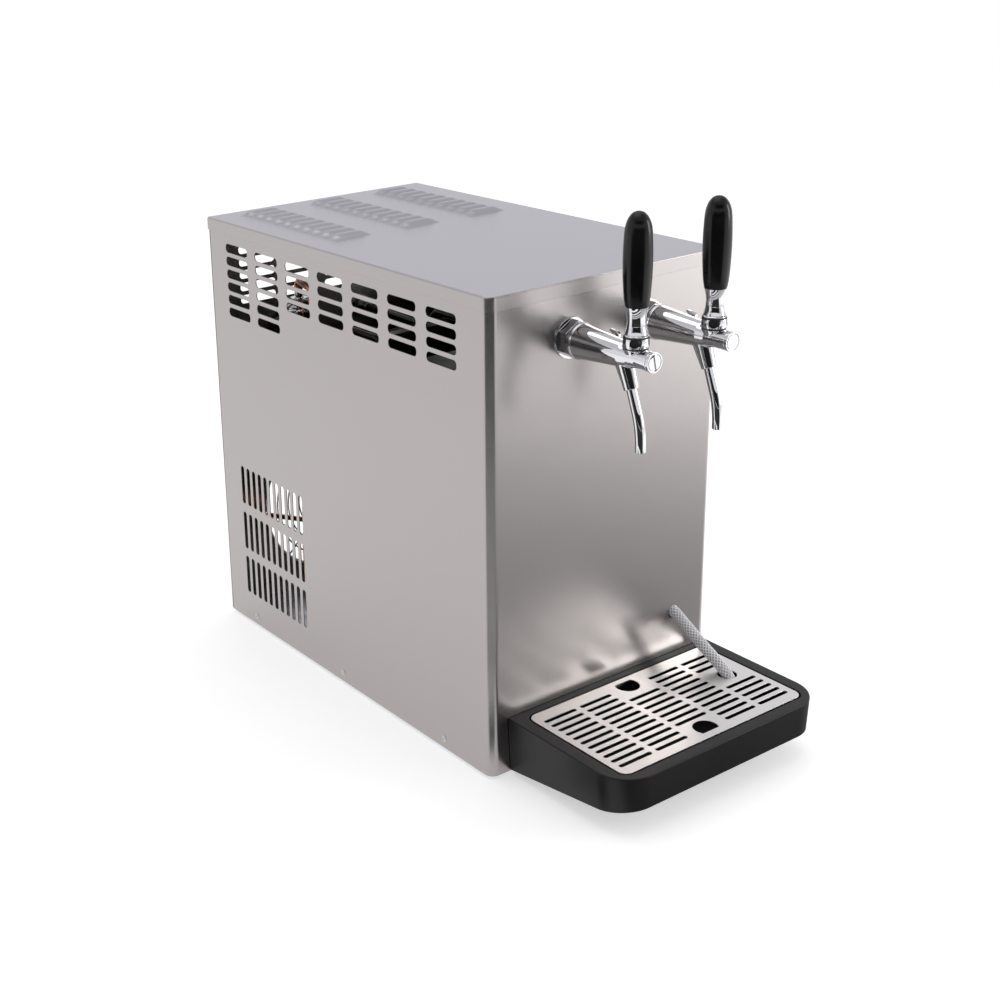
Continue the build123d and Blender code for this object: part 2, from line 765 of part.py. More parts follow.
def make_fan_shroud():
    """Sheet behind the condenser with a flanged round opening for the fan."""
    bottom, top = tank_floor, core_bottom + core_height
    with BuildPart() as fan_shroud:
        block(-core_half - 2, core_half, shroud_y, shroud_y + sheet, bottom, top)
        rod((fan_x, shroud_y, fan_z), (fan_x, shroud_y + 10, fan_z), fan_hole_radius + sheet)
        rod((fan_x, shroud_y - 1, fan_z), (fan_x, shroud_y + 11, fan_z), fan_hole_radius, mode=Mode.SUBTRACT)
    return fan_shroud.part


def make_fan_bracket():
    """Upright strap that holds the fan motor behind the shroud."""
    reach = fan_hole_radius + 8
    y = fan_motor_front + fan_motor_length
    with BuildPart() as fan_bracket:
        block(fan_x - 9, fan_x + 9, y, y + 2, fan_z - reach, fan_z + reach)
        for edge in (-1, 1):
            z0, z1 = sorted((fan_z + edge * reach, fan_z + edge * (reach - 2)))
            block(fan_x - 9, fan_x + 9, shroud_y + sheet, y, z0, z1)
    return fan_bracket.part


def make_fan_motor():
    """Fan motor can with a bore for the blade shaft."""
    with BuildPart() as fan_motor:
        rod((fan_x, fan_motor_front, fan_z), (fan_x, fan_motor_front + fan_motor_length, fan_z),
            fan_motor_radius)
        fillet(fan_motor.edges().sort_by(Axis.Y)[0], 5)
        rod((fan_x, fan_motor_front, fan_z), (fan_x, fan_motor_front + 20, fan_z), fan_shaft + running,
            mode=Mode.SUBTRACT)
    return fan_motor.part


def make_fan_blade():
    """Five pitched blades on a hub and shaft."""
    with BuildPart() as blade:
        with BuildSketch(Plane.XZ):
            with BuildLine():
                Polyline((14, -10), (blade_radius - 14, -24), (blade_radius - 2, -6),
                         (blade_radius - 6, 16), (14, 10), close=True)
            make_face()
        extrude(amount=0.8, both=True)
    with BuildPart() as fan_blade:
        rod((fan_x, fan_y - 7, fan_z), (fan_x, fan_y + 7, fan_z), 17)
        rod((fan_x, fan_y, fan_z), (fan_x, fan_motor_front + 18, fan_z), fan_shaft)
        for turn in range(blade_count):
            hub = Location((fan_x, fan_y, fan_z), (0, 360 / blade_count * turn, 0))
            with Locations(hub * Location((0, 0, 0), (blade_pitch, 0, 0))):
                add(blade.part)
    return fan_blade.part


def make_fan_guard():
    """Welded wire guard over the exhaust opening."""
    ring_y = body_rear - sheet - guard_wire
    bar_y = ring_y - 0.9 * guard_wire
    with BuildPart() as fan_guard:
        for ring in range(1, guard_rings + 1):
            with Locations(Location((0, ring_y, guard_z), (90, 0, 0))):
                Torus(ring * (guard_radius + guard_overlap) / guard_rings, guard_wire)
        for angle in (45, 135):
            reach = guard_radius + guard_overlap + 2
            dx, dz = reach * cos(radians(angle)), reach * sin(radians(angle))
            rod((-dx, bar_y, guard_z - dz), (dx, bar_y, guard_z + dz), guard_wire)
    return fan_guard.part


def grommet_places():
    """Corners of the compressor's foot plate."""
    return [(compressor_x + dx, compressor_y + dy) for dx in (-38, 38) for dy in (-38, 38)]


def make_compressor():
    """Welded compressor shell on its foot plate, with a stub for the suction pipe."""
    x, y, z = compressor_x, compressor_y, compressor_bottom
    with BuildPart() as compressor:
        rod((x, y, z), (x, y, z + compressor_height), compressor_radius)
        fillet(compressor.edges().filter_by(GeomType.CIRCLE), 24)
        rod((x, y, z + 60), (x, y, z + 66), compressor_radius + 1.2)
        block(x - 46, x + 46, y - 46, y + 46, z, z + compressor_plate)
        rod((x, y, suction_z), (x - compressor_radius - stub_length, y, suction_z), pipe_radius + 1.3)
        for gx, gy in grommet_places():
            rod((gx, gy, z - 1), (gx, gy, z + 4), grommet_neck + running, mode=Mode.SUBTRACT)
    return compressor.part


def make_compressor_grommets():
    """Four rubber grommets between the foot plate and the pan."""
    plate_top = compressor_bottom + compressor_plate
    with BuildPart() as compressor_grommets:
        for x, y in grommet_places():
            rod((x, y, tank_floor), (x, y, compressor_bottom), 8)
            rod((x, y, compressor_bottom), (x, y, plate_top), grommet_neck)
            rod((x, y, plate_top), (x, y, plate_top + 2.5), 7)
    return compressor_grommets.part


def make_accumulator():
    """Suction accumulator standing on the shelf."""
    x, y, z = accumulator_x, accumulator_y, shelf_z + sheet
    with BuildPart() as accumulator:
        rod((x, y, z), (x, y, accumulator_top), accumulator_radius)
        fillet(accumulator.edges().filter_by(GeomType.CIRCLE), 14)
        rod((x, y, z), (x, y, z + 18), 12)
        rod((x, y, accumulator_top - 2), (x, y, accumulator_neck), coil_tube_radius)
    return accumulator.part


def make_discharge_pipe():
    """Copper pipe from the compressor's dome over to the top of the condenser."""
    z_top = condenser_rows()[-1]
    start_z = compressor_bottom + compressor_height
    lane_y, lane_z = shroud_y + 22, start_z + 34
    side_x = -core_half - 22
    points = [(compressor_x, compressor_y, start_z), (compressor_x, compressor_y, lane_z),
              (compressor_x, lane_y, lane_z + 1), (side_x, lane_y, lane_z + 2),
              (side_x, condenser_y, z_top), (-core_half - condenser_stub, condenser_y, z_top)]
    return tube(points, [pipe_bend] * 4, pipe_radius)


def make_suction_pipe():
    """Copper pipe from the condenser's foot along the bay to the compressor's side."""
    z_low = condenser_rows()[0]
    side_x, rear_y = -core_half - 26, body_rear - sheet - 40
    stub_x = compressor_x - compressor_radius - stub_length
    points = [(-core_half - condenser_stub, condenser_y, z_low), (side_x, condenser_y, z_low),
              (side_x, condenser_y + 1, pipe_z), (side_x, rear_y, pipe_z),
              (stub_x - 22, rear_y, suction_z), (stub_x - 18, compressor_y, suction_z),
              (stub_x, compressor_y, suction_z)]
    return tube(points, [pipe_bend, pipe_bend, pipe_bend, pipe_bend, 5], pipe_radius)


def make_equipment_shelf():
    """Shelf over the cooling unit, folded down at its sides."""
    outer = wall_half - seat_gap
    rear = body_rear - 2 * sheet - seat_gap
    with BuildPart() as equipment_shelf:
        block(-outer, outer, bay_front, rear, shelf_z, shelf_z + sheet)
        for side in (-1, 1):
            x0, x1 = sorted((side * outer, side * (outer - sheet)))
            block(x0, x1, bay_front, rear, shelf_z - 16, shelf_z)
    return equipment_shelf.part


def make_control_box():
    """Plastic box for the electrics, on the shelf."""
    with BuildPart() as control_box:
        block(34, 134, bay_front + 16, bay_front + 86, shelf_z + sheet, shelf_z + sheet + 66)
        fillet(control_box.edges().filter_by(Axis.Z), 4)
        fillet(control_box.faces().sort_by(Axis.Z)[-1].edges(), 2)
    return control_box.part


# ---------------------------------------------------------------- rear fittings
def make_mains_inlet():
    """Three-pin appliance inlet with its flange and recess."""
    half_x, half_z = mains_half
    with BuildPart() as mains_inlet:
        block(mains_x - half_x, mains_x + half_x, body_rear - 22, body_rear,
              panel_z - half_z, panel_z + half_z)
        block(mains_x - 22, mains_x + 22, body_rear, body_rear + 3,
              panel_z - half_z - 2, panel_z + half_z + 2)
        block(mains_x - half_x + 2.5, mains_x + half_x - 2.5, body_rear - 14, body_rear + 4,
              panel_z - half_z + 2.5, panel_z + half_z - 2.5, mode=Mode.SUBTRACT)
        for dx, dz in ((-5, -2), (0, 2.5), (5, -2)):
            block(mains_x + dx - 1, mains_x + dx + 1, body_rear - 15, body_rear - 2, panel_z + dz - 2,
                  panel_z + dz + 2)
    return mains_inlet.part


def make_switch_housing():
    """Snap-in housing of the power switch, with holes for the rocker's pin."""
    half_x, half_z = switch_half
    recess_x = rocker_half + 0.4
    with BuildPart() as switch_housing:
        block(switch_x - half_x, switch_x + half_x, body_rear - 18, body_rear,
              panel_z - half_z, panel_z + half_z)
        block(switch_x - half_x - 2, switch_x + half_x + 2, body_rear, body_rear + 1.6,
              panel_z - half_z - 2, panel_z + half_z + 2)
        block(switch_x - recess_x, switch_x + recess_x, body_rear - 12, body_rear + 2,
              panel_z - half_z + 1.2, panel_z + half_z - 1.2, mode=Mode.SUBTRACT)
        y = body_rear - rocker_depth
        rod((switch_x - rocker_half - 1.5, y, panel_z), (switch_x + rocker_half + 1.5, y, panel_z),
            rocker_pin + running, mode=Mode.SUBTRACT)
    return switch_housing.part


def make_power_rocker():
    """Rocker on its cross pin, tipped to one side at rest."""
    pivot = (switch_x, body_rear - rocker_depth, panel_z)
    with BuildPart() as power_rocker:
        with BuildSketch(Plane.YZ.offset(-rocker_half)):
            with BuildLine():
                Polyline((-3, -7), (-3, 7), (4, 10.5), (5.2, 10.5), (3.4, 0), (5.2, -10.5), (4, -10.5),
                         close=True)
            make_face()
        extrude(amount=2 * rocker_half)
        rod((-rocker_half - 1.3, 0, 0), (rocker_half + 1.3, 0, 0), rocker_pin)
    return Location(pivot, (rocker_angle, 0, 0)) * power_rocker.part


def make_thermostat_body():
    """Thermostat with its threaded bush through the rear panel."""
    with BuildPart() as thermostat_body:
        x, inner_face = thermostat_x, body_rear - sheet
        block(x - 21, x + 21, body_rear - 34, inner_face, panel_z - 16, panel_z + 16)
        rod((x, inner_face, panel_z), (x, body_rear + 3, panel_z), thermostat_bush)
        rod((x, body_rear - 12, panel_z), (x, body_rear + 4, panel_z), thermostat_spindle + running,
            mode=Mode.SUBTRACT)
    return thermostat_body.part


def make_thermostat_knob():
    """Knob with its spindle, a grip bar and a pointer groove."""
    face = body_rear + 3.4
    with BuildPart() as thermostat_knob:
        rod((thermostat_x, face, panel_z), (thermostat_x, face + 3, panel_z), 17, 16)
        rod((thermostat_x, face + 3, panel_z), (thermostat_x, face + 12, panel_z), 12, 11)
        rod((thermostat_x, body_rear - 10, panel_z), (thermostat_x, face, panel_z), thermostat_spindle)
        block(thermostat_x - 0.7, thermostat_x + 0.7, face + 11, face + 13, panel_z, panel_z + 12,
              mode=Mode.SUBTRACT)
    return thermostat_knob.part


def make_beer_inlet(side):
    """Bulkhead fitting: plain tube stub outside, hexagon, thread through the panel and nut inside."""
    x = side * inlet_x
    tip = lid_rear + inlet_reach
    inner_face = body_rear - sheet
    with BuildPart() as beer_inlet:
        rod((x, body_rear + 4, inlet_z), (x, tip, inlet_z), inlet_radius)
        chamfer(beer_inlet.edges().sort_by(Axis.Y)[-1], 0.6)
        hexagon((x, body_rear, inlet_z), (x, body_rear + 5, inlet_z), 22, inlet_radius - 2)
        rod((x, inlet_inner, inlet_z), (x, inner_face - 6, inlet_z), 6)
        rod((x, inner_face - 6, inlet_z), (x, body_rear, inlet_z), inlet_thread)
        hexagon((x, inner_face - 6, inlet_z), (x, inner_face, inlet_z), 22, inlet_thread - 1)
        rod((x, inlet_inner + 3, inlet_z), (x, tip + 1, inlet_z), inlet_radius - 2, mode=Mode.SUBTRACT)
    return beer_inlet.part


# ---------------------------------------------------------------- taps, each built about its own axis
# Local frame: the panel's face is the XZ plane, the tap's axis runs along -Y, +Z is up.
def make_tap_shank():
    """Threaded shank from behind the panel into the tap's socket."""
    front = -(ring_end + socket_length)
    with BuildPart() as tap_shank:
        rod((0, shank_inside, 0), (0, front, 0), shank_radius)
        rod((0, shank_inside + 1, 0), (0, front - 1, 0), beer_tube_radius + running, mode=Mode.SUBTRACT)
    return tap_shank.part


def make_wall_nut():
    """Hexagonal wall nut with its round washer face."""
    bore = shank_radius + running
    with BuildPart() as wall_nut:
        rod((0, 0, 0), (0, -1.6, 0), 20)
        hexagon((0, -1.6, 0), (0, -ring_start + 1, 0), 33, bore)
        rod((0, -ring_start + 1, 0), (0, -ring_start, 0), 15)
        rod((0, 1, 0), (0, -ring_start - 1, 0), bore, mode=Mode.SUBTRACT)
    return wall_nut.part


def make_back_nut():
    """Nut and washer behind the panel."""
    bore = shank_radius + running
    with BuildPart() as back_nut:
        rod((0, sheet, 0), (0, sheet + 1.5, 0), 15)
        hexagon((0, sheet + 1.5, 0), (0, sheet + 9, 0), 27, bore)
        rod((0, sheet - 1, 0), (0, sheet + 2, 0), bore, mode=Mode.SUBTRACT)
    return back_nut.part


def sleeve_point(drop):
    """A point on the outlet sleeve's axis, at a drop below the tap's axis."""
    return (0, -(sleeve_start + drop * tan(radians(sleeve_tilt))), -drop)


def tip_travel(angle):
    """How far the lever's tip moves along the tap's axis for a turn of the lever."""
    return tip_drop * sin(radians(angle))


def stem_reach(angle):
    """How far the lever's stem swings from the pivot, where it leaves the collar's dome."""
    return dome_radius * sin(radians(angle) + asin(stem_radius / dome_radius)) + stem_gap


def make_tap_body():
    """Cast body: coupling ring, cone, nose, lever boss, outlet sleeve and rear fin, with its bores."""
    socket_end = ring_end + socket_length + 1
    with BuildPart() as tap_body:
        with BuildSketch(Plane.YZ):
            with BuildLine():
                Polyline((-ring_end, body_root_radius), (-ring_end, ring_radius),
                         (-ring_start - 1, ring_radius), (-ring_start, ring_radius - 1.2),
                         (-ring_start, 0), (-body_nose_end, 0), (-body_nose_end, body_nose_radius),
                         (-handle_reach - 6, body_nose_radius), (-handle_reach + 4, 10.4), (-72, 12.3))
                Spline((-72, 12.3), (-44, 14.4), (-ring_end, body_root_radius))
            make_face()
        revolve(axis=Axis.Y)
        rod((0, -handle_reach, 0), (0, -handle_reach, pivot_seat), boss_radius, collar_foot)
        rod(sleeve_point(0), sleeve_point(sleeve_drop), sleeve_radius, sleeve_foot_radius)
        top, foot = sleeve_point(10), sleeve_point(sleeve_drop)
        with BuildSketch(Plane.YZ.offset(-fin_thickness / 2)) as fin:
            with BuildLine():
                Polyline((top[1], top[2]), (top[1] + 15, top[2]), (foot[1] + 11.4, foot[2] + 1.6),
                         (foot[1] + 9.4, foot[2]), (foot[1] + 3, foot[2]), close=True)
            make_face()
        extrude(fin.sketch, amount=fin_thickness)
        rod((0, -handle_reach, pivot_seat), (0, -handle_reach, 2 * pivot_seat), collar_radius + running,
            mode=Mode.SUBTRACT)
        rod((0, -ring_start + 1, 0), (0, -socket_end, 0), shank_radius + running, mode=Mode.SUBTRACT)
        rod((0, -socket_end + 1, 0), (0, -body_nose_end - 1, 0), plunger_radius + running,
            mode=Mode.SUBTRACT)
        rod((0, -body_nose_end + 6, 0), (0, -body_nose_end - 1, 0), plug_radius - plug_skirt + running,
            mode=Mode.SUBTRACT)
        rod(sleeve_point(1), sleeve_point(sleeve_drop + 2), spout_bore, mode=Mode.SUBTRACT)
        rod(sleeve_point(sleeve_drop - spout_socket - 1), sleeve_point(sleeve_drop + 2),
            spout_radius + running, mode=Mode.SUBTRACT)
        with Locations((0, -handle_reach, pivot_rise)):
            Sphere(ball_radius + ball_gap, mode=Mode.SUBTRACT)
        reach_back = tip_travel(lever_forward) + tip_radius + tip_gap
        reach_front = tip_travel(lever_back) + tip_radius + tip_gap
        block(-tip_slot_half, tip_slot_half, -handle_reach - reach_front, -handle_reach + reach_back,
              -tip_slot_floor, pivot_rise, mode=Mode.SUBTRACT)
        rod((flow_seat - 6, -flow_reach, 0), (flow_seat + 4, -flow_reach, 0), flow_pin + running,
            mode=Mode.SUBTRACT)
    return tap_body.part


def make_end_plug(slotted):
    """Screwed end plug with a ring groove; the slotted one has a screwdriver slot."""
    face = body_nose_end + plug_length
    skirt = plug_radius - plug_skirt
    with BuildPart() as end_plug:
        rod((0, -body_nose_end, 0), (0, -face, 0), plug_radius)
        rod((0, -body_nose_end + 5, 0), (0, -body_nose_end, 0), skirt)
        rod((0, -body_nose_end + 5.5, 0), (0, -body_nose_end + 0.5, 0), plunger_radius + running,
            mode=Mode.SUBTRACT)
        with BuildSketch(Plane.XZ.offset(face - 0.7)) as groove:
            Circle(skirt)
            Circle(skirt - 0.7, mode=Mode.SUBTRACT)
        extrude(groove.sketch, amount=2, mode=Mode.SUBTRACT)
        if slotted:
            with Locations(Location((0, -face + 0.5, 0), (0, 78, 0))):
                Box(2 * skirt - 1.6, 1.4, 1.6, mode=Mode.SUBTRACT)
    return end_plug.part


def make_lever_collar():
    """Round collar nut over the lever's ball: bellied side, domed top, stem slot and spanner holes."""
    lean = asin(collar_top / dome_radius)
    shoulder = pivot_rise + dome_radius * cos(lean)
    with BuildPart() as lever_collar:
        with BuildSketch(Plane.YZ):
            with BuildLine():
                Polyline((-collar_foot, pivot_seat), (0, pivot_seat), (0, pivot_rise + dome_radius))
                ThreePointArc((0, pivot_rise + dome_radius),
                              (-dome_radius * sin(lean / 2), pivot_rise + dome_radius * cos(lean / 2)),
                              (-collar_top, shoulder))
                Spline((-collar_top, shoulder), (-collar_radius, (pivot_seat + shoulder) / 2),
                       (-collar_foot, pivot_seat))
            make_face()
        revolve(axis=Axis.Z)
        with Locations((0, 0, pivot_rise)):
            Sphere(ball_radius + ball_gap, mode=Mode.SUBTRACT)
        rod((0, 0, pivot_seat - 1), (0, 0, pivot_rise), ball_radius + ball_gap, mode=Mode.SUBTRACT)
        block(-stem_radius - stem_gap, stem_radius + stem_gap, -stem_reach(lever_forward),
              stem_reach(lever_back), pivot_rise + 1, pivot_rise + dome_radius + 1, mode=Mode.SUBTRACT)
        hole_z = pivot_seat + collar_hole_rise
        for quarter in range(4):
            angle = radians(collar_hole_turn + 90 * quarter)
            inner, outer = collar_radius - collar_hole_depth, collar_radius + 2
            rod((cos(angle) * inner, sin(angle) * inner, hole_z),
                (cos(angle) * outer, sin(angle) * outer, hole_z), collar_hole_radius, mode=Mode.SUBTRACT)
    return lever_collar.part.moved(Location((0, -handle_reach, 0)))


def make_tap_lever():
    """Ball, tip, stem and waisted neck, whose cupped underside rides over the collar's dome."""
    cup_radius = dome_radius + dome_gap
    neck_base = pivot_rise + sqrt(cup_radius ** 2 - skirt_radius ** 2)
    length = neck_top - neck_base
    tip_z = pivot_rise - tip_drop
    with BuildPart() as neck:
        with BuildSketch(Plane.YZ):
            with BuildLine():
                Polyline((-neck_radius, neck_top), (0, neck_top), (0, neck_base),
                         (-skirt_radius, neck_base))
                Spline((-skirt_radius, neck_base), (-waist_radius, neck_base + length * 0.4),
                       (-waist_radius, neck_base + length * 0.58), (-neck_radius, neck_top))
            make_face()
        revolve(axis=Axis.Z)
        with Locations((0, 0, pivot_rise)):
            Sphere(cup_radius, mode=Mode.SUBTRACT)
        with Locations((0, 0, pivot_rise)):
            Sphere(ball_radius)
        rod((0, 0, pivot_rise), (0, 0, neck_base + length / 3), stem_radius)
        rod((0, 0, pivot_rise), (0, 0, tip_z), stem_top, stem_foot)
        with Locations((0, 0, tip_z)):
            Sphere(tip_radius)
        rod((0, 0, neck_top - 1), (0, 0, neck_top + stud_length), stud_radius)
    return neck.part.moved(Location((0, -handle_reach, 0)))


def make_tap_handle():
    """Turned handle, widest at the middle, tapered to a domed top."""
    base, length = neck_top, handle_top - neck_top
    with BuildPart() as tap_handle:
        with BuildSketch(Plane.YZ):
            with BuildLine():
                Line((0, base), (-neck_radius, base))
                Spline((-neck_radius, base), (-handle_radius * 0.92, base + length * 0.16),
                       (-handle_radius, base + length * 0.5), (-handle_radius * 0.95, base + length * 0.75),
                       (-handle_radius * 0.86, base + length * 0.86),
                       (-handle_radius * 0.575, base + length * 0.955), (0, base + length),
                       tangents=((-0.25, 1), (1, 0)))
                Line((0, base + length), (0, base))
            make_face()
        revolve(axis=Axis.Z)
        rod((0, 0, base - 1), (0, 0, base + stud_length + 0.5), stud_radius + running, mode=Mode.SUBTRACT)
    return tap_handle.part.moved(Location((0, -handle_reach, 0)))


def make_tap_plunger():
    """Sliding shaft with a waist at the outlet and a notch that the lever's tip works in."""
    front = body_nose_end - 1 - tip_travel(lever_back) - 0.5
    rear = ring_end + socket_length + 1 + tip_travel(lever_forward)
    notch = tip_radius + tip_gap
    with BuildPart() as tap_plunger:
        rod((0, -rear, 0), (0, -front, 0), plunger_radius)
        block(-6, 6, -handle_reach - notch, -handle_reach + notch, -2.1, 6, mode=Mode.SUBTRACT)
        block(-6, 6, -handle_reach - notch - notch_flare, -handle_reach + notch + notch_flare, tip_radius,
              6, mode=Mode.SUBTRACT)
        rod((0, -sleeve_start + plunger_waist_half, 0), (0, -sleeve_start - plunger_waist_half, 0),
            plunger_radius + 1, mode=Mode.SUBTRACT)
        rod((0, -sleeve_start + plunger_waist_half + 1, 0), (0, -sleeve_start - plunger_waist_half - 1, 0),
            plunger_waist)
    return tap_plunger.part


def make_tap_spout():
    """Spout tube: tilted where it leaves the sleeve, then bent to hang straight down."""
    tilt = radians(sleeve_tilt)
    start = sleeve_point(sleeve_drop - spout_socket)
    knee_length = spout_socket / cos(tilt) + spout_straight + spout_bend * tan(tilt / 2)
    knee = (0, start[1] - knee_length * sin(tilt), start[2] - knee_length * cos(tilt))
    return tube([start, knee, (0, knee[1], -spout_drop)], [spout_bend], spout_radius, spout_bore)


def make_flow_lever():
    """Flow-control lever on its pin, beside the body."""
    with BuildPart() as flow_lever:
        rod((flow_seat - 5, -flow_reach, 0), (flow_lever_x + 3.4, -flow_reach, 0), flow_pin)
        rod((flow_lever_x, -flow_reach, 0), (flow_lever_x + 3.4, -flow_reach, 0), 5)
        with BuildSketch(Plane.YZ.offset(flow_lever_x)) as arm:
            with BuildLine():
                Polyline((-flow_reach - 3.4, 0), (-flow_reach - 3.8, 9.5), (-flow_reach - 1.5, 12.5),
                         (-flow_reach + 7.5, 13.5), (-flow_reach + 8.5, 11.5), (-flow_reach + 3.4, 8),
                         (-flow_reach + 3.4, 0), close=True)
            make_face()
        extrude(arm.sketch, amount=3.4)
    return flow_lever.part


# ---------------------------------------------------------------- drip tray
def hanger_screw_places():
    """Screws of the tray hanger, along X."""
    return [tray_offset - hanger_width * 0.3, tray_offset + hanger_width * 0.3]


def underside(lift):
    """The wedge below the tray's sloping bottom, shifted up by a lift."""
    with BuildPart() as wedge:
        with BuildSketch(Plane.YZ.offset(tray_x0 - 5)):
            with BuildLine():
                Polyline((tray_front - 5, -50), (tray_rear + 30, -50),
                         (tray_rear + 30, tray_rear_bottom + lift), (tray_rear, tray_rear_bottom + lift),
                         (tray_front, tray_front_bottom + lift),
                         (tray_front - 5, tray_front_bottom + lift), close=True)
            make_face()
        extrude(amount=tray_width + 10)
    return wedge.part


def tray_basin():
    """The hollow below the grille, with its sloping floor."""
    inset = ledge - grille_gap
    with BuildPart() as basin:
        with BuildSketch():
            with Locations(((grille_x0 + grille_x1) / 2, (grille_y0 + grille_y1) / 2)):
                RectangleRounded(grille_x1 - grille_x0 - 2 * inset, grille_y1 - grille_y0 - 2 * inset,
                                 grille_corner - 2)
        extrude(amount=tray_top)
        add(underside(tray_wall), mode=Mode.SUBTRACT)
    return basin.part


def make_drip_tray():
    """Wedge-shaped tray, rounded at the front, with a rim, a ledge for the grille and a hook pocket."""
    spare = 20
    basin, wedge = tray_basin(), underside(0)
    with BuildPart() as drip_tray:
        with BuildSketch(Plane.XY.offset(tray_top)) as outline:
            with Locations((tray_offset, (tray_front + tray_rear + spare) / 2)):
                Rectangle(tray_width, tray_rear + spare - tray_front)
            fillet(outline.vertices().group_by(Axis.Y)[0], tray_corner)
        extrude(amount=-tray_top, taper=tray_draft)
        fillet(drip_tray.faces().sort_by(Axis.Z)[-1].edges(), 1.2)
        block(tray_x0 - 5, tray_x1 + 5, tray_rear, tray_rear + spare + 5, -5, tray_top + 5,
              mode=Mode.SUBTRACT)
        add(wedge, mode=Mode.SUBTRACT)
        with BuildSketch(Plane.XY.offset(grille_bottom)) as seat:
            with Locations(((grille_x0 + grille_x1) / 2, (grille_y0 + grille_y1) / 2)):
                RectangleRounded(grille_x1 - grille_x0 + 2 * grille_gap,
                                 grille_y1 - grille_y0 + 2 * grille_gap, grille_corner + grille_gap)
        extrude(seat.sketch, amount=2 * grille_flange, mode=Mode.SUBTRACT)
        add(basin, mode=Mode.SUBTRACT)
        x0, x1 = tray_offset - hanger_width / 2 - 1, tray_offset + hanger_width / 2 + 1
        pocket = hanger_lip_front - hanger_play
        block(x0, x1, pocket, tray_rear + 1, 0, hanger_foot, mode=Mode.SUBTRACT)
        block(x0, x1, hanger_plate_front - hanger_play, tray_rear + 1, 0, hanger_top + 1,
              mode=Mode.SUBTRACT)
        block(x0, x1, pocket, hanger_lip_front + hanger_sheet + hanger_play, 0, hanger_top + hanger_play,
              mode=Mode.SUBTRACT)
    return drip_tray.part


def grille_slot_places():
    """Centres of the grille's slots, leaving out those beside the finger holes and the hose hole."""
    cx, cy = (grille_x0 + grille_x1) / 2, (grille_y0 + grille_y1) / 2
    step = grille_slot_length + grille_slot_gap
    hose_x, hose_y = hose_in_grille
    places = []
    for column in range(grille_columns):
        x = cx + (column - (grille_columns - 1) / 2) * step
        for row in range(grille_rows):
            y = cy + ((grille_rows - 1) / 2 - row) * grille_row_pitch - 1.5
            beside_finger = column == grille_columns // 2 and not 1 < row < grille_rows - 2
            clear = hose_hole_radius + grille_slot_height
            beside_hose = abs(x - hose_x) < step / 2 and abs(y - hose_y) < clear
            if not beside_finger and not beside_hose:
                places.append((x, y))
    return places


def make_drip_grille():
    """Slotted stainless grille with turned-down edges, two finger holes and the hose hole."""
    width, depth = grille_x1 - grille_x0, grille_y1 - grille_y0
    cx, cy = (grille_x0 + grille_x1) / 2, (grille_y0 + grille_y1) / 2
    with BuildPart() as drip_grille:
        with BuildSketch(Plane.XY.offset(grille_bottom)):
            with Locations((cx, cy)):
                RectangleRounded(width, depth, grille_corner)
        extrude(amount=grille_flange)
        with BuildSketch(Plane.XY.offset(grille_bottom)):
            with Locations((cx, cy)):
                RectangleRounded(width - 2 * grille_sheet, depth - 2 * grille_sheet,
                                 grille_corner - grille_sheet)
        extrude(amount=grille_flange - grille_sheet, mode=Mode.SUBTRACT)
        notch = grille_corner + 2
        for x in (grille_x0, grille_x1):
            for y in (grille_y0, grille_y1):
                block(x - notch, x + notch, y - notch, y + notch,
                      grille_bottom - 1, tray_top - grille_sheet, mode=Mode.SUBTRACT)
        with BuildSketch(Plane.XY.offset(tray_top)) as slots:
            with Locations(*grille_slot_places()):
                SlotOverall(grille_slot_length, grille_slot_height)
        extrude(slots.sketch, amount=-2 * grille_sheet, mode=Mode.SUBTRACT)
        for flat, inward in ((grille_y1 - finger_flat, -1), (grille_y0 + finger_flat + 2, 1)):
            with BuildSketch(Plane.XY.offset(tray_top)) as finger:
                with Locations((cx, flat + inward * finger_radius * 0.56)):
                    Circle(finger_radius)
                with Locations((cx, flat - inward * finger_radius)):
                    Rectangle(4 * finger_radius, 2 * finger_radius, mode=Mode.SUBTRACT)
            extrude(finger.sketch, amount=-2 * grille_sheet, mode=Mode.SUBTRACT)
        rod((*hose_in_grille, tray_top - 3), (*hose_in_grille, tray_top + 1), hose_hole_radius,
            mode=Mode.SUBTRACT)
    return drip_grille.part


def make_tray_hanger():
    """Hook rail screwed to the front panel, which the tray's pocket drops over."""
    x0, x1 = tray_offset - hanger_width / 2, tray_offset + hanger_width / 2
    with BuildPart() as tray_hanger:
        block(x0, x1, hanger_plate_front, body_front, hanger_screw_z - 8, hanger_top)
        block(x0, x1, hanger_lip_front, hanger_plate_front, hanger_foot - hanger_sheet, hanger_foot)
        block(x0, x1, hanger_lip_front, hanger_lip_front + hanger_sheet, hanger_foot, hanger_top)
        for x in hanger_screw_places():
            rod((x, hanger_plate_front - 1, hanger_screw_z), (x, body_front + 1, hanger_screw_z),
                screw_radius + running, mode=Mode.SUBTRACT)
    return tray_hanger.part


def make_hanger_screws():
    """Two screws through the tray hanger and the front panel, with their nuts."""
    with BuildPart() as hanger_screws:
        for x in hanger_screw_places():
            rod((x, hanger_plate_front, hanger_screw_z), (x, wall_front + 4, hanger_screw_z), screw_radius)
            rod((x, hanger_plate_front - 1.4, hanger_screw_z), (x, hanger_plate_front, hanger_screw_z),
                screw_head_radius)
            rod((x, wall_front, hanger_screw_z), (x, wall_front + 3, hanger_screw_z), screw_head_radius)
    return hanger_screws.part


# ---------------------------------------------------------------- assembly
def at_tap(part, side):
    """Move a piece from the tap's own frame to its place on the front panel."""
    return part.moved(Location((side * tap_spacing / 2, body_front, tap_z)))


def both_taps(left, right):
    """Two like pieces, one at each tap, as one group of solids."""
    with BuildPart() as group:
        add(at_tap(left, -1))
        add(at_tap(right, 1))
    return group.part


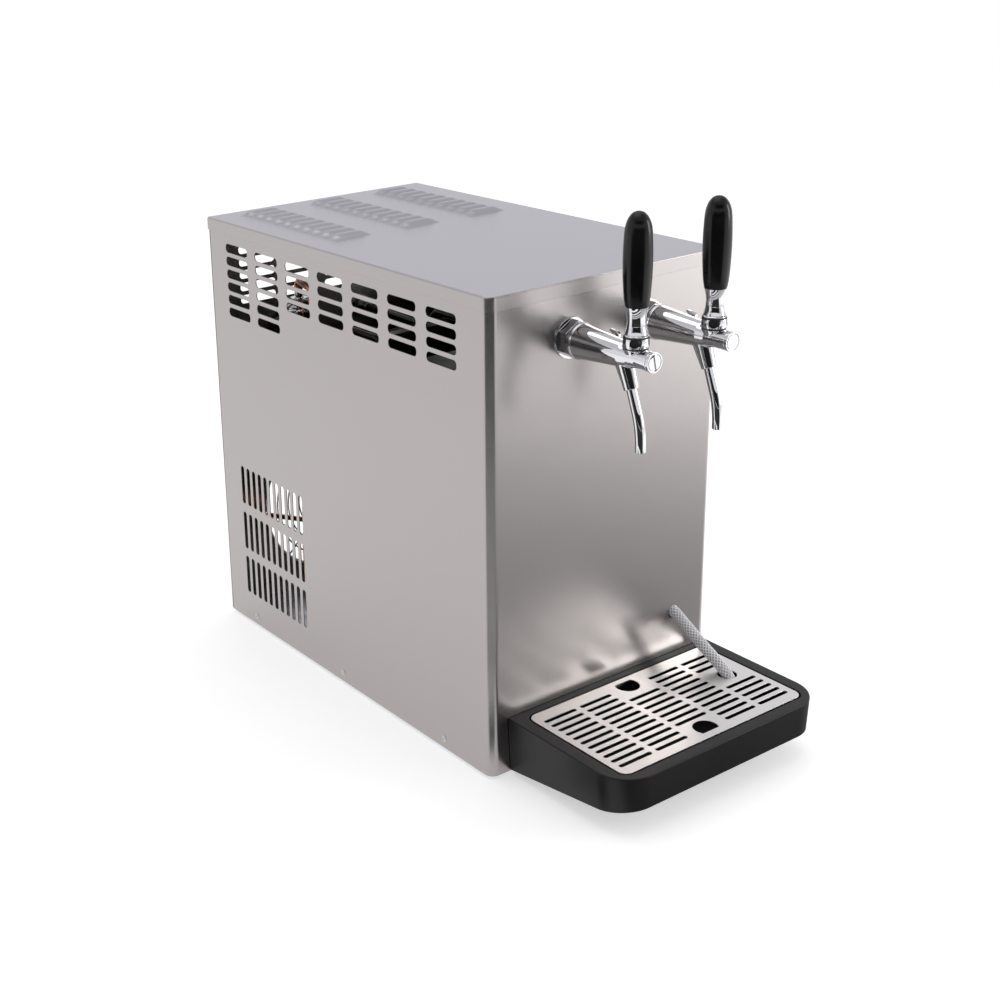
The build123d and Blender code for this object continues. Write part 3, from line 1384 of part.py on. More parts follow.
pieces = {
    "base_pan": make_base_pan(),
    "feet": make_feet(),
    "cabinet_wrap": make_cabinet_wrap(),
    "rear_panel": make_rear_panel(),
    "lid": make_lid(),
    "cabinet_screws": make_cabinet_screws(),
    "tank_insulation": make_tank_insulation(),
    "tank_liner": make_tank_liner(),
    "drain_spigot": make_drain_spigot(),
    "drain_hose": make_drain_hose(),
    "evaporator_coil": make_evaporator_coil(),
    "agitator_bridge": make_agitator_bridge(),
    "agitator_motor": make_agitator_motor(),
    "agitator_rotor": make_agitator_rotor(),
    "condenser_core": make_condenser_core(),
    "condenser_tubes": make_condenser_tubes(),
    "fan_shroud": make_fan_shroud(),
    "fan_bracket": make_fan_bracket(),
    "fan_motor": make_fan_motor(),
    "fan_blade": make_fan_blade(),
    "fan_guard": make_fan_guard(),
    "compressor": make_compressor(),
    "compressor_grommets": make_compressor_grommets(),
    "accumulator": make_accumulator(),
    "discharge_pipe": make_discharge_pipe(),
    "suction_pipe": make_suction_pipe(),
    "equipment_shelf": make_equipment_shelf(),
    "control_box": make_control_box(),
    "mains_inlet": make_mains_inlet(),
    "switch_housing": make_switch_housing(),
    "power_rocker": make_power_rocker(),
    "thermostat_body": make_thermostat_body(),
    "thermostat_knob": make_thermostat_knob(),
    "drip_tray": make_drip_tray(),
    "drip_grille": make_drip_grille(),
    "tray_hanger": make_tray_hanger(),
    "hanger_screws": make_hanger_screws(),
    "tap_wall_nuts": both_taps(make_wall_nut(), make_wall_nut()),
    "tap_back_nuts": both_taps(make_back_nut(), make_back_nut()),
    "tap_end_plugs": both_taps(make_end_plug(True), make_end_plug(False)),
}
for word, side in (("left", -1), ("right", 1)):
    pieces[f"beer_inlet_{word}"] = make_beer_inlet(side)
    pieces[f"beer_coil_{word}"] = make_beer_coil(side)
    pieces[f"tap_shank_{word}"] = at_tap(make_tap_shank(), side)
    pieces[f"tap_body_{word}"] = at_tap(make_tap_body(), side)
    pieces[f"lever_collar_{word}"] = at_tap(make_lever_collar(), side)
    pieces[f"tap_lever_{word}"] = at_tap(make_tap_lever(), side)
    pieces[f"tap_handle_{word}"] = at_tap(make_tap_handle(), side)
    pieces[f"tap_plunger_{word}"] = at_tap(make_tap_plunger(), side)
    pieces[f"tap_spout_{word}"] = at_tap(make_tap_spout(), side)
    pieces[f"flow_lever_{word}"] = at_tap(make_flow_lever(), side)

os.makedirs("parts", exist_ok=True)
for name, piece in pieces.items():
    piece.label = name
    export_step(piece, f"parts/{name}.step")
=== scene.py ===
import bpy, bmesh
from math import acos, ceil, cos, pi, radians, sin, sqrt
from mathutils import Matrix, Vector


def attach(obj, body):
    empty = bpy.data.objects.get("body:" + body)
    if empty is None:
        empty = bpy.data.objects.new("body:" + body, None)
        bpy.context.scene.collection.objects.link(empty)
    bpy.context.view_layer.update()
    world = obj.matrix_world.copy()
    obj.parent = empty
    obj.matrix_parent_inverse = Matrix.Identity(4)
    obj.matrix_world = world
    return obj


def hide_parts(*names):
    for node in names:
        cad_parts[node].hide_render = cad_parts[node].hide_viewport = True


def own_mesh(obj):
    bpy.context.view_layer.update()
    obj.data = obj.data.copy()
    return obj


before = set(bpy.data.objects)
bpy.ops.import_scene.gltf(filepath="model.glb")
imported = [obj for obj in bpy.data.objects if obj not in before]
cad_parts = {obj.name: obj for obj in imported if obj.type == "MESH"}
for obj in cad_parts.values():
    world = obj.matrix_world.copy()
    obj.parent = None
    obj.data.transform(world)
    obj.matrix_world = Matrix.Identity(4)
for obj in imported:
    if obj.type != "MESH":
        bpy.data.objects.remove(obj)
scene = bpy.context.scene
scene.view_settings.view_transform = "Standard"
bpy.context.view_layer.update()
mm = 0.001  # shapes are drawn in millimetres and scaled when they become meshes


# camera, left of the front and above the lid
cameraSet = {"place": (-1.01784, -1.23160, 0.84739), "turn": -34.36, "rise": 18.42, "roll": -2.0,
             "lens": 56.68, "sensor": 36, "shiftX": 0.14567, "shiftY": -0.09117, "clip": (0.05, 50)}


def makeCamera(look):
    turn, rise, roll = radians(look["turn"]), radians(look["rise"]), radians(look["roll"])
    back = Vector((sin(turn) * cos(rise), -cos(turn) * cos(rise), sin(rise)))
    right = (-back).cross(Vector((0, 0, 1))).normalized()
    up = back.cross(right)
    xAxis = cos(roll) * right + sin(roll) * up
    yAxis = -sin(roll) * right + cos(roll) * up
    data = bpy.data.cameras.new("camera")
    data.lens, data.sensor_width = look["lens"], look["sensor"]
    data.shift_x, data.shift_y = look["shiftX"], look["shiftY"]
    data.clip_start, data.clip_end = look["clip"]
    camera = bpy.data.objects.new("camera", data)
    camera.matrix_world = Matrix((xAxis, yAxis, back)).transposed().to_4x4()
    camera.location = look["place"]
    scene.collection.objects.link(camera)
    scene.camera = camera


makeCamera(cameraSet)
print("camera is in place")


# material helpers
def newMaterial(name):
    material = bpy.data.materials.new(name)
    material.use_nodes = True
    tree = material.node_tree
    shader = tree.nodes["Principled BSDF"]
    return material, tree, shader


def isSocket(value):
    return isinstance(value, bpy.types.NodeSocket)


def setAll(node, values):  # links the values that are sockets and sets the others
    for key, value in values.items():
        if isSocket(value):
            node.id_data.links.new(value, node.inputs[key])
        else:
            node.inputs[key].default_value = value


def addNode(tree, kind, values=None, **settings):
    node = tree.nodes.new(kind)
    for key, value in settings.items():
        setattr(node, key, value)
    setAll(node, values or {})
    return node


def socket(tree, kind, values=None, output=0, **settings):
    return addNode(tree, kind, values, **settings).outputs[output]


def calc(tree, operation, *feeds):
    return socket(tree, "ShaderNodeMath", dict(enumerate(feeds)), operation=operation)


def vectorCalc(tree, operation, *feeds):
    slots = (0, "Scale") if operation == "SCALE" else (0, 1)
    output = "Value" if operation in ("DOT_PRODUCT", "DISTANCE") else "Vector"
    return socket(tree, "ShaderNodeVectorMath", dict(zip(slots, feeds)), output, operation=operation)


def coords(tree, scale=(1, 1, 1), uvName=None):
    if uvName:
        start = socket(tree, "ShaderNodeUVMap", output="UV", uv_map=uvName)
    else:
        start = socket(tree, "ShaderNodeTexCoord", output="Object")
    return socket(tree, "ShaderNodeMapping", {"Vector": start, "Scale": scale}, "Vector")


def noise(tree, vector, scale, detail=3, rough=0.5):
    values = {"Vector": vector, "Scale": scale, "Detail": detail, "Roughness": rough}
    return socket(tree, "ShaderNodeTexNoise", values, "Fac")


def mapRange(tree, value, first, last, low=0.0, high=1.0):
    ends = {"Value": value, "From Min": first, "From Max": last, "To Min": low, "To Max": high}
    return socket(tree, "ShaderNodeMapRange", ends)


def spread(tree, value, low=0.0, high=1.0):  # a texture value of 0.3 to 0.7 onto a range
    return mapRange(tree, value, 0.3, 0.7, low, high)


def mixColour(tree, factor, first, second):
    first, second = (colour if isSocket(colour) else (*colour, 1) for colour in (first, second))
    return socket(tree, "ShaderNodeMix", {0: factor, 6: first, 7: second}, 2, data_type="RGBA")


def addBump(tree, shader, height, strength, distance):
    values = {"Strength": strength, "Distance": distance, "Height": height}
    setAll(shader, {"Normal": socket(tree, "ShaderNodeBump", values, "Normal")})


steelSet = {"bright": (0.435, 0.408, 0.398), "dull": (0.424, 0.397, 0.388), "top": None,
            "rough": (0.262, 0.268), "anisotropic": 0.6, "wave": 0.12, "lines": (6, 1600, 1),
            "clouds": (3, 9, 1)}
# the lid's 'top' colour is a painted reflection of the sky, laid on the faces that look up
lidSteelSet = {**steelSet, "bright": (0.442, 0.415, 0.405), "dull": (0.431, 0.404, 0.395),
               "top": (0.475, 0.47, 0.50), "paintedSkyFrom": 0.45, "paintedSkyTo": 0.8, "rough": (0.30, 0.306),
               "anisotropic": 0.4, "wave": 0.02}


def brushedSteel(name, look, uvName="grain"):
    material, tree, shader = newMaterial(name)
    lines = noise(tree, coords(tree, look["lines"], uvName), 1, 3, 0.6)
    cloud = noise(tree, coords(tree, look["clouds"], uvName), 1, 2)
    shade = mixColour(tree, spread(tree, lines), look["dull"], look["bright"])
    if look["top"]:  # faces that look up are painted a little bluer, a painted reflection of the sky
        normal = socket(tree, "ShaderNodeTexCoord", output="Normal")
        upward = socket(tree, "ShaderNodeSeparateXYZ", {0: normal}, "Z")
        shade = mixColour(tree, mapRange(tree, upward, look["paintedSkyFrom"], look["paintedSkyTo"]), shade, look["top"])
    tangent = socket(tree, "ShaderNodeTangent", direction_type="UV_MAP", uv_map=uvName)
    setAll(shader, {"Base Color": shade, "Roughness": spread(tree, lines, *look["rough"]), "Metallic": 1.0,
                    "Anisotropic": look["anisotropic"], "Anisotropic Rotation": 0.25, "Tangent": tangent})
    addBump(tree, shader, cloud, look["wave"], 0.004)
    return material


def plainMetal(name, colour, rough, spots=0.02, bump=0.0):
    material, tree, shader = newMaterial(name)
    cloud = noise(tree, coords(tree), 60, 4)
    dark = tuple(c * (1 - spots) for c in colour)
    setAll(shader, {"Base Color": mixColour(tree, spread(tree, cloud), dark, colour),
                    "Roughness": spread(tree, cloud, rough * 0.85, rough * 1.15), "Metallic": 1.0})
    if bump:
        addBump(tree, shader, cloud, bump, 0.0005)
    return material


def plastic(name, colour, rough, grain=0.0, grainScale=1500, coat=0.0, shine=0.5):
    material, tree, shader = newMaterial(name)
    cloud = noise(tree, coords(tree), 25, 3)
    lighter = tuple(c * 1.25 + 0.002 for c in colour)
    setAll(shader, {"Base Color": mixColour(tree, spread(tree, cloud), colour, lighter),
                    "Roughness": spread(tree, cloud, rough * 0.9, rough * 1.1),
                    "Coat Weight": coat, "Coat Roughness": 0.1, "Specular IOR Level": shine})
    if grain:
        addBump(tree, shader, noise(tree, coords(tree), grainScale, 2), grain, 0.0002)
    return material


def galvanisedSheet(name, darker, lighter):
    material, tree, shader = newMaterial(name)
    cells = socket(tree, "ShaderNodeTexVoronoi", {"Scale": 90.0, "Vector": coords(tree)}, "Color")
    split = addNode(tree, "ShaderNodeSeparateColor", {"Color": cells}).outputs
    setAll(shader, {"Base Color": mixColour(tree, split["Red"], darker, lighter),
                    "Roughness": spread(tree, split["Green"], 0.32, 0.42), "Metallic": 1.0})
    return material


def foamed(name, darker, lighter):
    material, tree, shader = newMaterial(name)
    cloud = noise(tree, coords(tree), 40, 5, 0.6)
    setAll(shader, {"Base Color": mixColour(tree, spread(tree, cloud), darker, lighter), "Roughness": 0.8})
    addBump(tree, shader, noise(tree, coords(tree), 260, 4), 0.5, 0.0015)
    return material


def clearHose(name, darker, lighter):
    material, tree, shader = newMaterial(name)
    cloud = noise(tree, coords(tree), 120, 2)
    setAll(shader, {"Base Color": mixColour(tree, spread(tree, cloud), darker, lighter), "Roughness": 0.28,
                    "Subsurface Weight": 0.25, "Subsurface Scale": 0.004, "Subsurface Radius": (1, 1, 1),
                    "Coat Weight": 0.5, "Coat Roughness": 0.12})
    return material


finish = {
    "steel": brushedSteel("brushedSteel", steelSet),
    "lidSteel": brushedSteel("lidSteel", lidSteelSet),
    "stainless": plainMetal("stainless", (0.58, 0.57, 0.56), 0.3, 0.05, 0.05),
    # near-black steel for parts deep inside the cabinet: painted shade, as the inside lies in shade
    "bathSteel": plainMetal("bathSteel", (0.075, 0.073, 0.075), 0.38, 0.05, 0.05),
    "grille": plainMetal("grilleSteel", (0.86, 0.84, 0.82), 0.33, 0.04, 0.05),
    "chrome": plainMetal("chromePlate", (0.73, 0.73, 0.745), 0.035, 0.01),
    "galvanised": galvanisedSheet("galvanisedSheet", (0.42, 0.44, 0.46), (0.6, 0.62, 0.64)),
    "copper": plainMetal("copperPipe", (0.78, 0.36, 0.22), 0.28, 0.25, 0.05),
    "aluminium": plainMetal("finAluminium", (0.72, 0.73, 0.74), 0.35, 0.05),
    "zinc": plainMetal("zincScrew", (0.55, 0.56, 0.57), 0.28, 0.05),
    "enamel": plastic("blackEnamel", (0.012, 0.012, 0.013), 0.3, 0.1, 500, 0.3),
    "handle": plastic("handleLacquer", (0.003, 0.003, 0.0035), 0.2, 0, 0, 0.0, 0.3),
    "tray": plastic("trayPlastic", (0.008, 0.0075, 0.008), 0.4, 0.08, 2200, 0, 0.3),
    "black": plastic("blackPlastic", (0.02, 0.02, 0.021), 0.4, 0.1),
    "rubber": plastic("rubber", (0.015, 0.015, 0.015), 0.75, 0.2, 900),
    "foam": foamed("foam", (0.020, 0.019, 0.020), (0.034, 0.032, 0.033)),
    "hose": clearHose("clearHose", (0.40, 0.39, 0.40), (0.50, 0.49, 0.50)),
    "braid": plastic("braidYarn", (0.88, 0.87, 0.88), 0.45),
}
print("materials are made")


# shape helpers
def bakedMesh(thing):
    evaluated = thing.evaluated_get(bpy.context.evaluated_depsgraph_get())
    return bpy.data.meshes.new_from_object(evaluated)


def asMesh(name, shape, sharp=32, scale=mm):
    bmesh.ops.scale(shape, vec=(scale,) * 3, verts=shape.verts)
    mesh = bpy.data.meshes.new(name)
    shape.to_mesh(mesh)
    shape.free()
    mesh.shade_smooth()
    mesh.set_sharp_from_angle(angle=radians(sharp))
    return mesh


def workObject(name, mesh):
    thing = bpy.data.objects.new(name, mesh)
    scene.collection.objects.link(thing)
    return thing


def addPiece(name, mesh, body, material, stands=()):
    piece = workObject(name, mesh)
    mesh.materials.clear()
    mesh.materials.append(finish[material])
    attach(piece, body)
    if stands:
        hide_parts(*stands)
    return piece


def modified(name, mesh, *modifiers):  # a mesh after some modifiers, with nothing left in the scene
    thing = workObject(name, mesh)
    for kind, settings in modifiers:
        modifier = thing.modifiers.new(kind, kind)
        for key, value in settings.items():
            setattr(modifier, key, value)
    result = bakedMesh(thing)
    bpy.data.objects.remove(thing)
    result.name = name
    return result


evenNormals = ("WEIGHTED_NORMAL", {"keep_sharp": True, "weight": 80})


def addSheet(name, shape, body, material, node, sharp=32, scale=mm):
    mesh = modified(name, asMesh(name, shape, sharp, scale), evenNormals)
    addPiece(name, mesh, body, material, (node,))


def outward(shape):
    bmesh.ops.recalc_face_normals(shape, faces=shape.faces)


def bridge(shape, first, second, closed=True):  # faces between two rows of corners
    for k in range(0 if closed else 1, len(first)):
        shape.faces.new((first[k - 1], first[k], second[k], second[k - 1]))


def fill(shape, edges):
    bmesh.ops.triangle_fill(shape, use_beauty=True, use_dissolve=False, edges=edges)


def lathe(profile, steps):
    shape = bmesh.new()
    rings = []
    for radius, height in profile:
        angles = [2 * pi * k / steps for k in range(steps if radius else 1)]
        rings.append([shape.verts.new((radius * cos(a), radius * sin(a), height)) for a in angles])
    for first, second in zip(rings, rings[1:]):
        for k in range(steps):
            corners = [first[k % len(first)], first[(k + 1) % len(first)], second[(k + 1) % len(second)],
                       second[k % len(second)]]
            corners = list(dict.fromkeys(corners))
            if len(corners) > 2:
                shape.faces.new(corners)
    outward(shape)
    return shape


def joined(*shapes):
    whole = bmesh.new()
    for shape in shapes:
        part = bpy.data.meshes.new("part")
        shape.to_mesh(part)
        shape.free()
        whole.from_mesh(part)
        bpy.data.meshes.remove(part)
    return whole


def roundSlot(centreX, centreY, width, height, radius, grow=0.0, steps=5):
    halfX, halfY, corner = width / 2 + grow, height / 2 + grow, radius + grow
    loop = []
    for quarter, (signX, signY) in enumerate(((1, 1), (-1, 1), (-1, -1), (1, -1))):
        for k in range(steps + 1):
            angle = (quarter + k / steps) * pi / 2
            loop.append((centreX + signX * (halfX - corner) + corner * cos(angle),
                         centreY + signY * (halfY - corner) + corner * sin(angle)))
    return [p for k, p in enumerate(loop) if (Vector(p) - Vector(loop[k - 1])).length > 1e-4]


def plate(edge, holes, thick, bevel=0.15):  # flat sheet, shown face at 0; edge and holes are loops by growth
    shape = bmesh.new()
    layers = ((0, 1), (bevel, 0), (thick - bevel, 0), (thick, 1))
    caps = {0: [], len(layers) - 1: []}
    for index, outline in enumerate([edge] + holes):
        rings = []
        for level, (depth, grown) in enumerate(layers):
            grow = bevel * grown * (1 if index else -1)
            ring = [shape.verts.new((u, v, depth)) for u, v in outline(grow)]
            rings.append(ring)
            if level in caps:
                caps[level] += [shape.edges.new((ring[k - 1], ring[k])) for k in range(len(ring))]
        for first, second in zip(rings, rings[1:]):
            bridge(shape, first, second)
    for edges in caps.values():
        fill(shape, edges)
    outward(shape)
    return shape


def slot(centreX, centreY, width, height, radius, steps=5):
    return lambda grow: roundSlot(centreX, centreY, width, height, radius, grow, steps)


def hole(centreX, centreY, radius, steps=8):
    return lambda grow: roundSlot(centreX, centreY, 2 * radius, 2 * radius, radius, grow, steps)


def flatGrain(corner, normal):
    return corner.x * mm, corner.y * mm


def grainMap(shape, place=flatGrain):  # UV map in metres
    layer = shape.loops.layers.uv.new("grain")
    for face in shape.faces:
        for loop in face.loops:
            loop[layer].uv = place(loop.vert.co, face.normal)


def softCopy(node, name, bevel=0.0, sharp=32, voxel=0.0, smooth=0, segments=2, fillets=()):
    shape = bmesh.new()
    shape.from_mesh(bpy.data.objects[node].data)
    bmesh.ops.remove_doubles(shape, verts=shape.verts, dist=2e-6)
    if not voxel:
        bmesh.ops.dissolve_limit(shape, angle_limit=radians(0.4), verts=shape.verts, edges=shape.edges)
    mesh = asMesh(name, shape, sharp, 1)
    steps = []
    if voxel:
        steps += [("REMESH", {"mode": "VOXEL", "voxel_size": voxel * mm, "use_smooth_shade": True}),
                  ("SMOOTH", {"factor": 0.5, "iterations": smooth})]
    if bevel:
        steps.append(("BEVEL", {"width": bevel * mm, "segments": segments, "limit_method": "ANGLE",
                                "angle_limit": radians(sharp), "use_clamp_overlap": True}))
        steps.append(evenNormals)
    mesh = modified(name, mesh, *steps)
    for place, radius, rounds in fillets:  # more smoothing where a cast blend lies
        shape = bmesh.new()
        shape.from_mesh(mesh)
        near = [corner for corner in shape.verts if (corner.co - Vector(place) * mm).length < radius * mm]
        for _ in range(rounds):
            bmesh.ops.smooth_vert(shape, verts=near, factor=0.5, use_axis_x=True, use_axis_y=True,
                                  use_axis_z=True)
        shape.to_mesh(mesh)
        shape.free()
    return mesh


# geometry nodes helpers
def newTree(name, inputs):  # returns the tree and the sockets of its inputs
    tree = bpy.data.node_groups.new(name, "GeometryNodeTree")
    for label, kind in {"Geometry": "Geometry", **inputs, "Material": "Material"}.items():
        tree.interface.new_socket(label, in_out="INPUT", socket_type="NodeSocket" + kind)
    tree.interface.new_socket("Geometry", in_out="OUTPUT", socket_type="NodeSocketGeometry")
    return tree, tree.nodes.new("NodeGroupInput").outputs


def runTree(name, tree, values, mesh=None):
    thing = workObject(name, mesh or bpy.data.meshes.new(name))
    modifier = thing.modifiers.new(name, "NODES")
    modifier.node_group = tree
    for item in tree.interface.items_tree:
        if item.item_type == "SOCKET" and item.in_out == "INPUT" and item.name in values:
            modifier[item.identifier] = values[item.name]
    result = bakedMesh(thing)
    bpy.data.objects.remove(thing)
    result.name = name
    return result


def endTree(tree, given, source):
    flat = socket(tree, "GeometryNodeRealizeInstances", {0: source})
    coated = socket(tree, "GeometryNodeSetMaterial", {"Geometry": flat, "Material": given["Material"]})
    addNode(tree, "NodeGroupOutput", {0: coated})
    return tree


def placeTree(tree, given, item, points, **more):  # an object on every point
    shape = socket(tree, "GeometryNodeObjectInfo", {"Object": given[item]}, "Geometry")
    values = {"Points": points, "Instance": shape, **more}
    return endTree(tree, given, socket(tree, "GeometryNodeInstanceOnPoints", values))


def sweepTree(tree, given, curves, radius, corners, caps):  # curves become round wires
    profile = socket(tree, "GeometryNodeCurvePrimitiveCircle", {"Resolution": corners, "Radius": radius})
    values = {"Curve": curves, "Profile Curve": profile, "Fill Caps": caps}
    return endTree(tree, given, socket(tree, "GeometryNodeCurveToMesh", values))


# drain hose, a free cord from the panel down into the tray
hoseSet = {"radius": 5.6, "wall": 1.5, "strands": 9, "turns": 3.2, "strandRadius": 0.5, "strandSteps": 160,
           "spigotZ": 0.1166, "keep": 0.35}
hoseRoute = ((0.0993, -0.149, 0.1166), (0.0993, -0.162, 0.1166), (0.0999, -0.1745, 0.1136),
             (0.1008, -0.1875, 0.1059), (0.1022, -0.204, 0.0946), (0.1042, -0.224, 0.0813),
             (0.1059, -0.241, 0.0706), (0.1067, -0.250, 0.0634), (0.1071, -0.256, 0.0556))


def routeMesh(name, radius):
    data = bpy.data.curves.new(name, "CURVE")
    data.dimensions = "3D"
    spline = data.splines.new("NURBS")
    spline.points.add(len(hoseRoute) - 1)
    for point, place in zip(spline.points, hoseRoute):
        point.co = (*place, 1)
    spline.order_u = 3
    spline.use_endpoint_u = True
    spline.resolution_u = data.resolution_u = 12
    data.bevel_depth = radius * mm
    data.bevel_resolution = 8
    thing = workObject(name, data)
    mesh = bakedMesh(thing)
    bpy.data.objects.remove(thing)
    return mesh


def braidTree(steps):
    tree, given = newTree("hoseBraid", {"Strands": "Int", "Turns": "Float", "Radius": "Float",
                                        "Strand Radius": "Float"})
    line = socket(tree, "GeometryNodeMeshToCurve", {0: given["Geometry"]})
    line = socket(tree, "GeometryNodeResampleCurve", {"Curve": line, "Count": steps})
    normal, tangent = socket(tree, "GeometryNodeInputNormal"), socket(tree, "GeometryNodeInputTangent")
    side = vectorCalc(tree, "CROSS_PRODUCT", normal, tangent)
    along = socket(tree, "GeometryNodeSplineParameter", output="Factor")
    join = tree.nodes.new("GeometryNodeJoinGeometry")
    for direction in (1, -1):
        values = {0: line, "Amount": given["Strands"]}
        copies = addNode(tree, "GeometryNodeDuplicateElements", values, domain="SPLINE").outputs
        share = calc(tree, "DIVIDE", copies["Duplicate Index"], given["Strands"])
        turns = calc(tree, "ADD", share, calc(tree, "MULTIPLY", along, given["Turns"]))
        angle = calc(tree, "MULTIPLY", turns, 2 * pi * direction)
        first = vectorCalc(tree, "SCALE", normal, calc(tree, "COSINE", angle))
        second = vectorCalc(tree, "SCALE", side, calc(tree, "SINE", angle))
        offset = vectorCalc(tree, "SCALE", vectorCalc(tree, "ADD", first, second), given["Radius"])
        setAll(join, {0: socket(tree, "GeometryNodeSetPosition", {"Geometry": copies[0], "Offset": offset})})
    return sweepTree(tree, given, join.outputs[0], given["Strand Radius"], 5, False)


def makeHose(look):
    line = routeMesh("hoseLine", 0)
    braid = runTree("hoseBraid", braidTree(look["strandSteps"]), {
        "Strands": look["strands"], "Turns": look["turns"], "Radius": look["radius"] * mm,
        "Strand Radius": look["strandRadius"] * mm, "Material": finish["braid"]}, line)
    braid.shade_smooth()
    braidPiece = addPiece("hoseBraid", braid, "cabinet", "braid")
    wall = ("SOLIDIFY", {"thickness": look["wall"] * mm, "offset": -1})
    tube = modified("drainHose", routeMesh("hoseTube", look["radius"]), wall)
    hose = addPiece("drainHose", tube, "cabinet", "hose", ("drain_hose",))
    for piece in (hose, braidPiece):  # the hose is loose; each of its pieces gets a mesh of its own
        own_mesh(piece)


makeHose(hoseSet)


# cabinet, drawn flat as one sheet and folded at its bends
wrapSet = {"half": 149.0, "front": -178.0, "rear": 319.0, "bottom": 4.0, "top": 493.2, "sheet": 1.0,
           "corner": 10.0, "lip": 12.0, "lipBend": 1.2, "lipBottom": 26.0, "bendStep": 0.16}
frontSet = {"tapX": 50, "tapZ": 438.5, "tapHole": 8.35, "hoseX": 99.9, "hoseZ": 111.3, "hoseHole": 7.2,
            "trayScrewsX": (-19, 41), "trayScrewZ": 30.5, "screwHole": 1.9}
ventSet = {"upperHeight": 10, "upperCorner": 4.2, "upperGap": 16, "rowPitch": 14.8, "topRow": 464.0,
           "frontMargin": 47, "rearMargin": 35.5, "rows": (6, 6, 4, 4, 4, 4, 4),  # of each column, rear first
           "lowerColumns": 11, "lowerWidth": 7, "lowerLength": 47, "lowerPitch": 12.35, "lowerRear": 276.5,
           "lowerRows": (65.0, 122.0, 180.0)}
screwSet = {"sidesY": (-103.0, 79.5, 262.0), "sideZ": 14.5, "rearX": 142.0,
            "rearZ": (64.0, 229.0, 344.0, 433.2), "head": 3.6, "rise": 0.9, "hole": 1.9, "length": 2.5,
            "arm": 0.52, "armWidth": 0.42, "armDepth": 0.55}


def bends(size):  # straight runs and bends from one rear lip round to the other, as (length, radius)
    bend, corner = size["lipBend"], size["corner"]
    side = size["rear"] - bend - size["front"] - corner
    half = [(size["lip"] - bend, 0), (pi / 2 * bend, bend), (side, 0), (pi / 2 * corner, corner)]
    return half + [(2 * (size["half"] - corner), 0)] + half[::-1]


def folded(flat, size):  # where a corner of the flat sheet lies after folding
    along, height, depth = flat
    place = Vector((-size["half"] + size["lip"], size["rear"], 0))
    heading, left = Vector((-1, 0, 0)), Vector((0, -1, 0))
    for length, radius in bends(size):
        step = min(max(along, 0), length)
        if radius:
            angle = step / radius
            turned = heading * sin(angle) - left * cos(angle)
            place = place + (left + turned) * radius
            heading, left = heading * cos(angle) + left * sin(angle), -turned
        else:
            place = place + heading * step
        along -= length
        if along <= 0:
            break
    place = place + left * depth
    return Vector((place.x, place.y, height))


def ventLoops(size, vents, sideAt):
    rear = size["rear"] + size["sheet"] - vents["rearMargin"]
    gap, wide = vents["upperGap"], vents["lowerWidth"]
    pitch = (rear - size["front"] - vents["frontMargin"] + gap) / len(vents["rows"])
    loops = []
    for column, rows in enumerate(vents["rows"]):
        y = rear - (column + 0.5) * pitch + gap / 2
        loops += [slot(sideAt(y), vents["topRow"] - row * vents["rowPitch"], pitch - gap,
                       vents["upperHeight"], vents["upperCorner"]) for row in range(rows)]
    for column in range(vents["lowerColumns"]):
        y = vents["lowerRear"] - column * vents["lowerPitch"]
        loops += [slot(sideAt(y), z, wide, vents["lowerLength"], wide / 2 - 0.05) for z in vents["lowerRows"]]
    return loops + [hole(sideAt(y), screwSet["sideZ"], screwSet["hole"]) for y in screwSet["sidesY"]]


def makeWrap(size, vents, front):
    runs = bends(size)
    total = sum(length for length, radius in runs)
    toSide = runs[0][0] + runs[1][0]
    start = toSide + size["rear"] - size["lipBend"]
    middle = total / 2

    def edge(grow):
        low, high, lipLow = size["bottom"] - grow, size["top"] + grow, size["lipBottom"] - grow
        return [(-grow, lipLow), (toSide, lipLow), (toSide, low), (total - toSide, low),
                (total - toSide, lipLow), (total + grow, lipLow), (total + grow, high), (-grow, high)]

    loops = ventLoops(size, vents, lambda y: start - y) + ventLoops(size, vents, lambda y: total - start + y)
    loops += [hole(middle + x, front["tapZ"], front["tapHole"], 12) for x in (-front["tapX"], front["tapX"])]
    loops.append(hole(middle + front["hoseX"], front["hoseZ"], front["hoseHole"], 10))
    loops += [hole(middle + x, front["trayScrewZ"], front["screwHole"]) for x in front["trayScrewsX"]]
    shape = plate(edge, loops, size["sheet"])
    reach = 0
    for length, radius in runs:
        cuts = max(1, ceil(length / radius / size["bendStep"])) if radius else 1
        for cut in range(cuts):
            everything = list(shape.verts) + list(shape.edges) + list(shape.faces)
            at = (reach + length * cut / cuts, 0, 0)
            bmesh.ops.bisect_plane(shape, geom=everything, dist=1e-5, plane_co=at, plane_no=(1, 0, 0))
        reach += length
    grainMap(shape)
    for corner in shape.verts:
        corner.co = folded(corner.co, size)
    outward(shape)
    addSheet("cabinetWrap", shape, "cabinet", "steel", "cabinet_wrap")


makeWrap(wrapSet, ventSet, frontSet)
print("cabinet is folded")


# rear panel
rearSet = {"columns": 4, "columnPitch": 59, "slotLength": 48, "rows": 6, "openingZ": 119.0, "opening": 92.0,
           "inletX": 60, "inletZ": 354.0, "inletHole": 8.1, "controlsZ": 266.0, "knobX": 6, "knobHole": 5.1,
           "cutOuts": ((108, 27.6, 20.4), (62, 19.4, 28.4)), "corner": 0.6, "edgeCorner": 0.8}


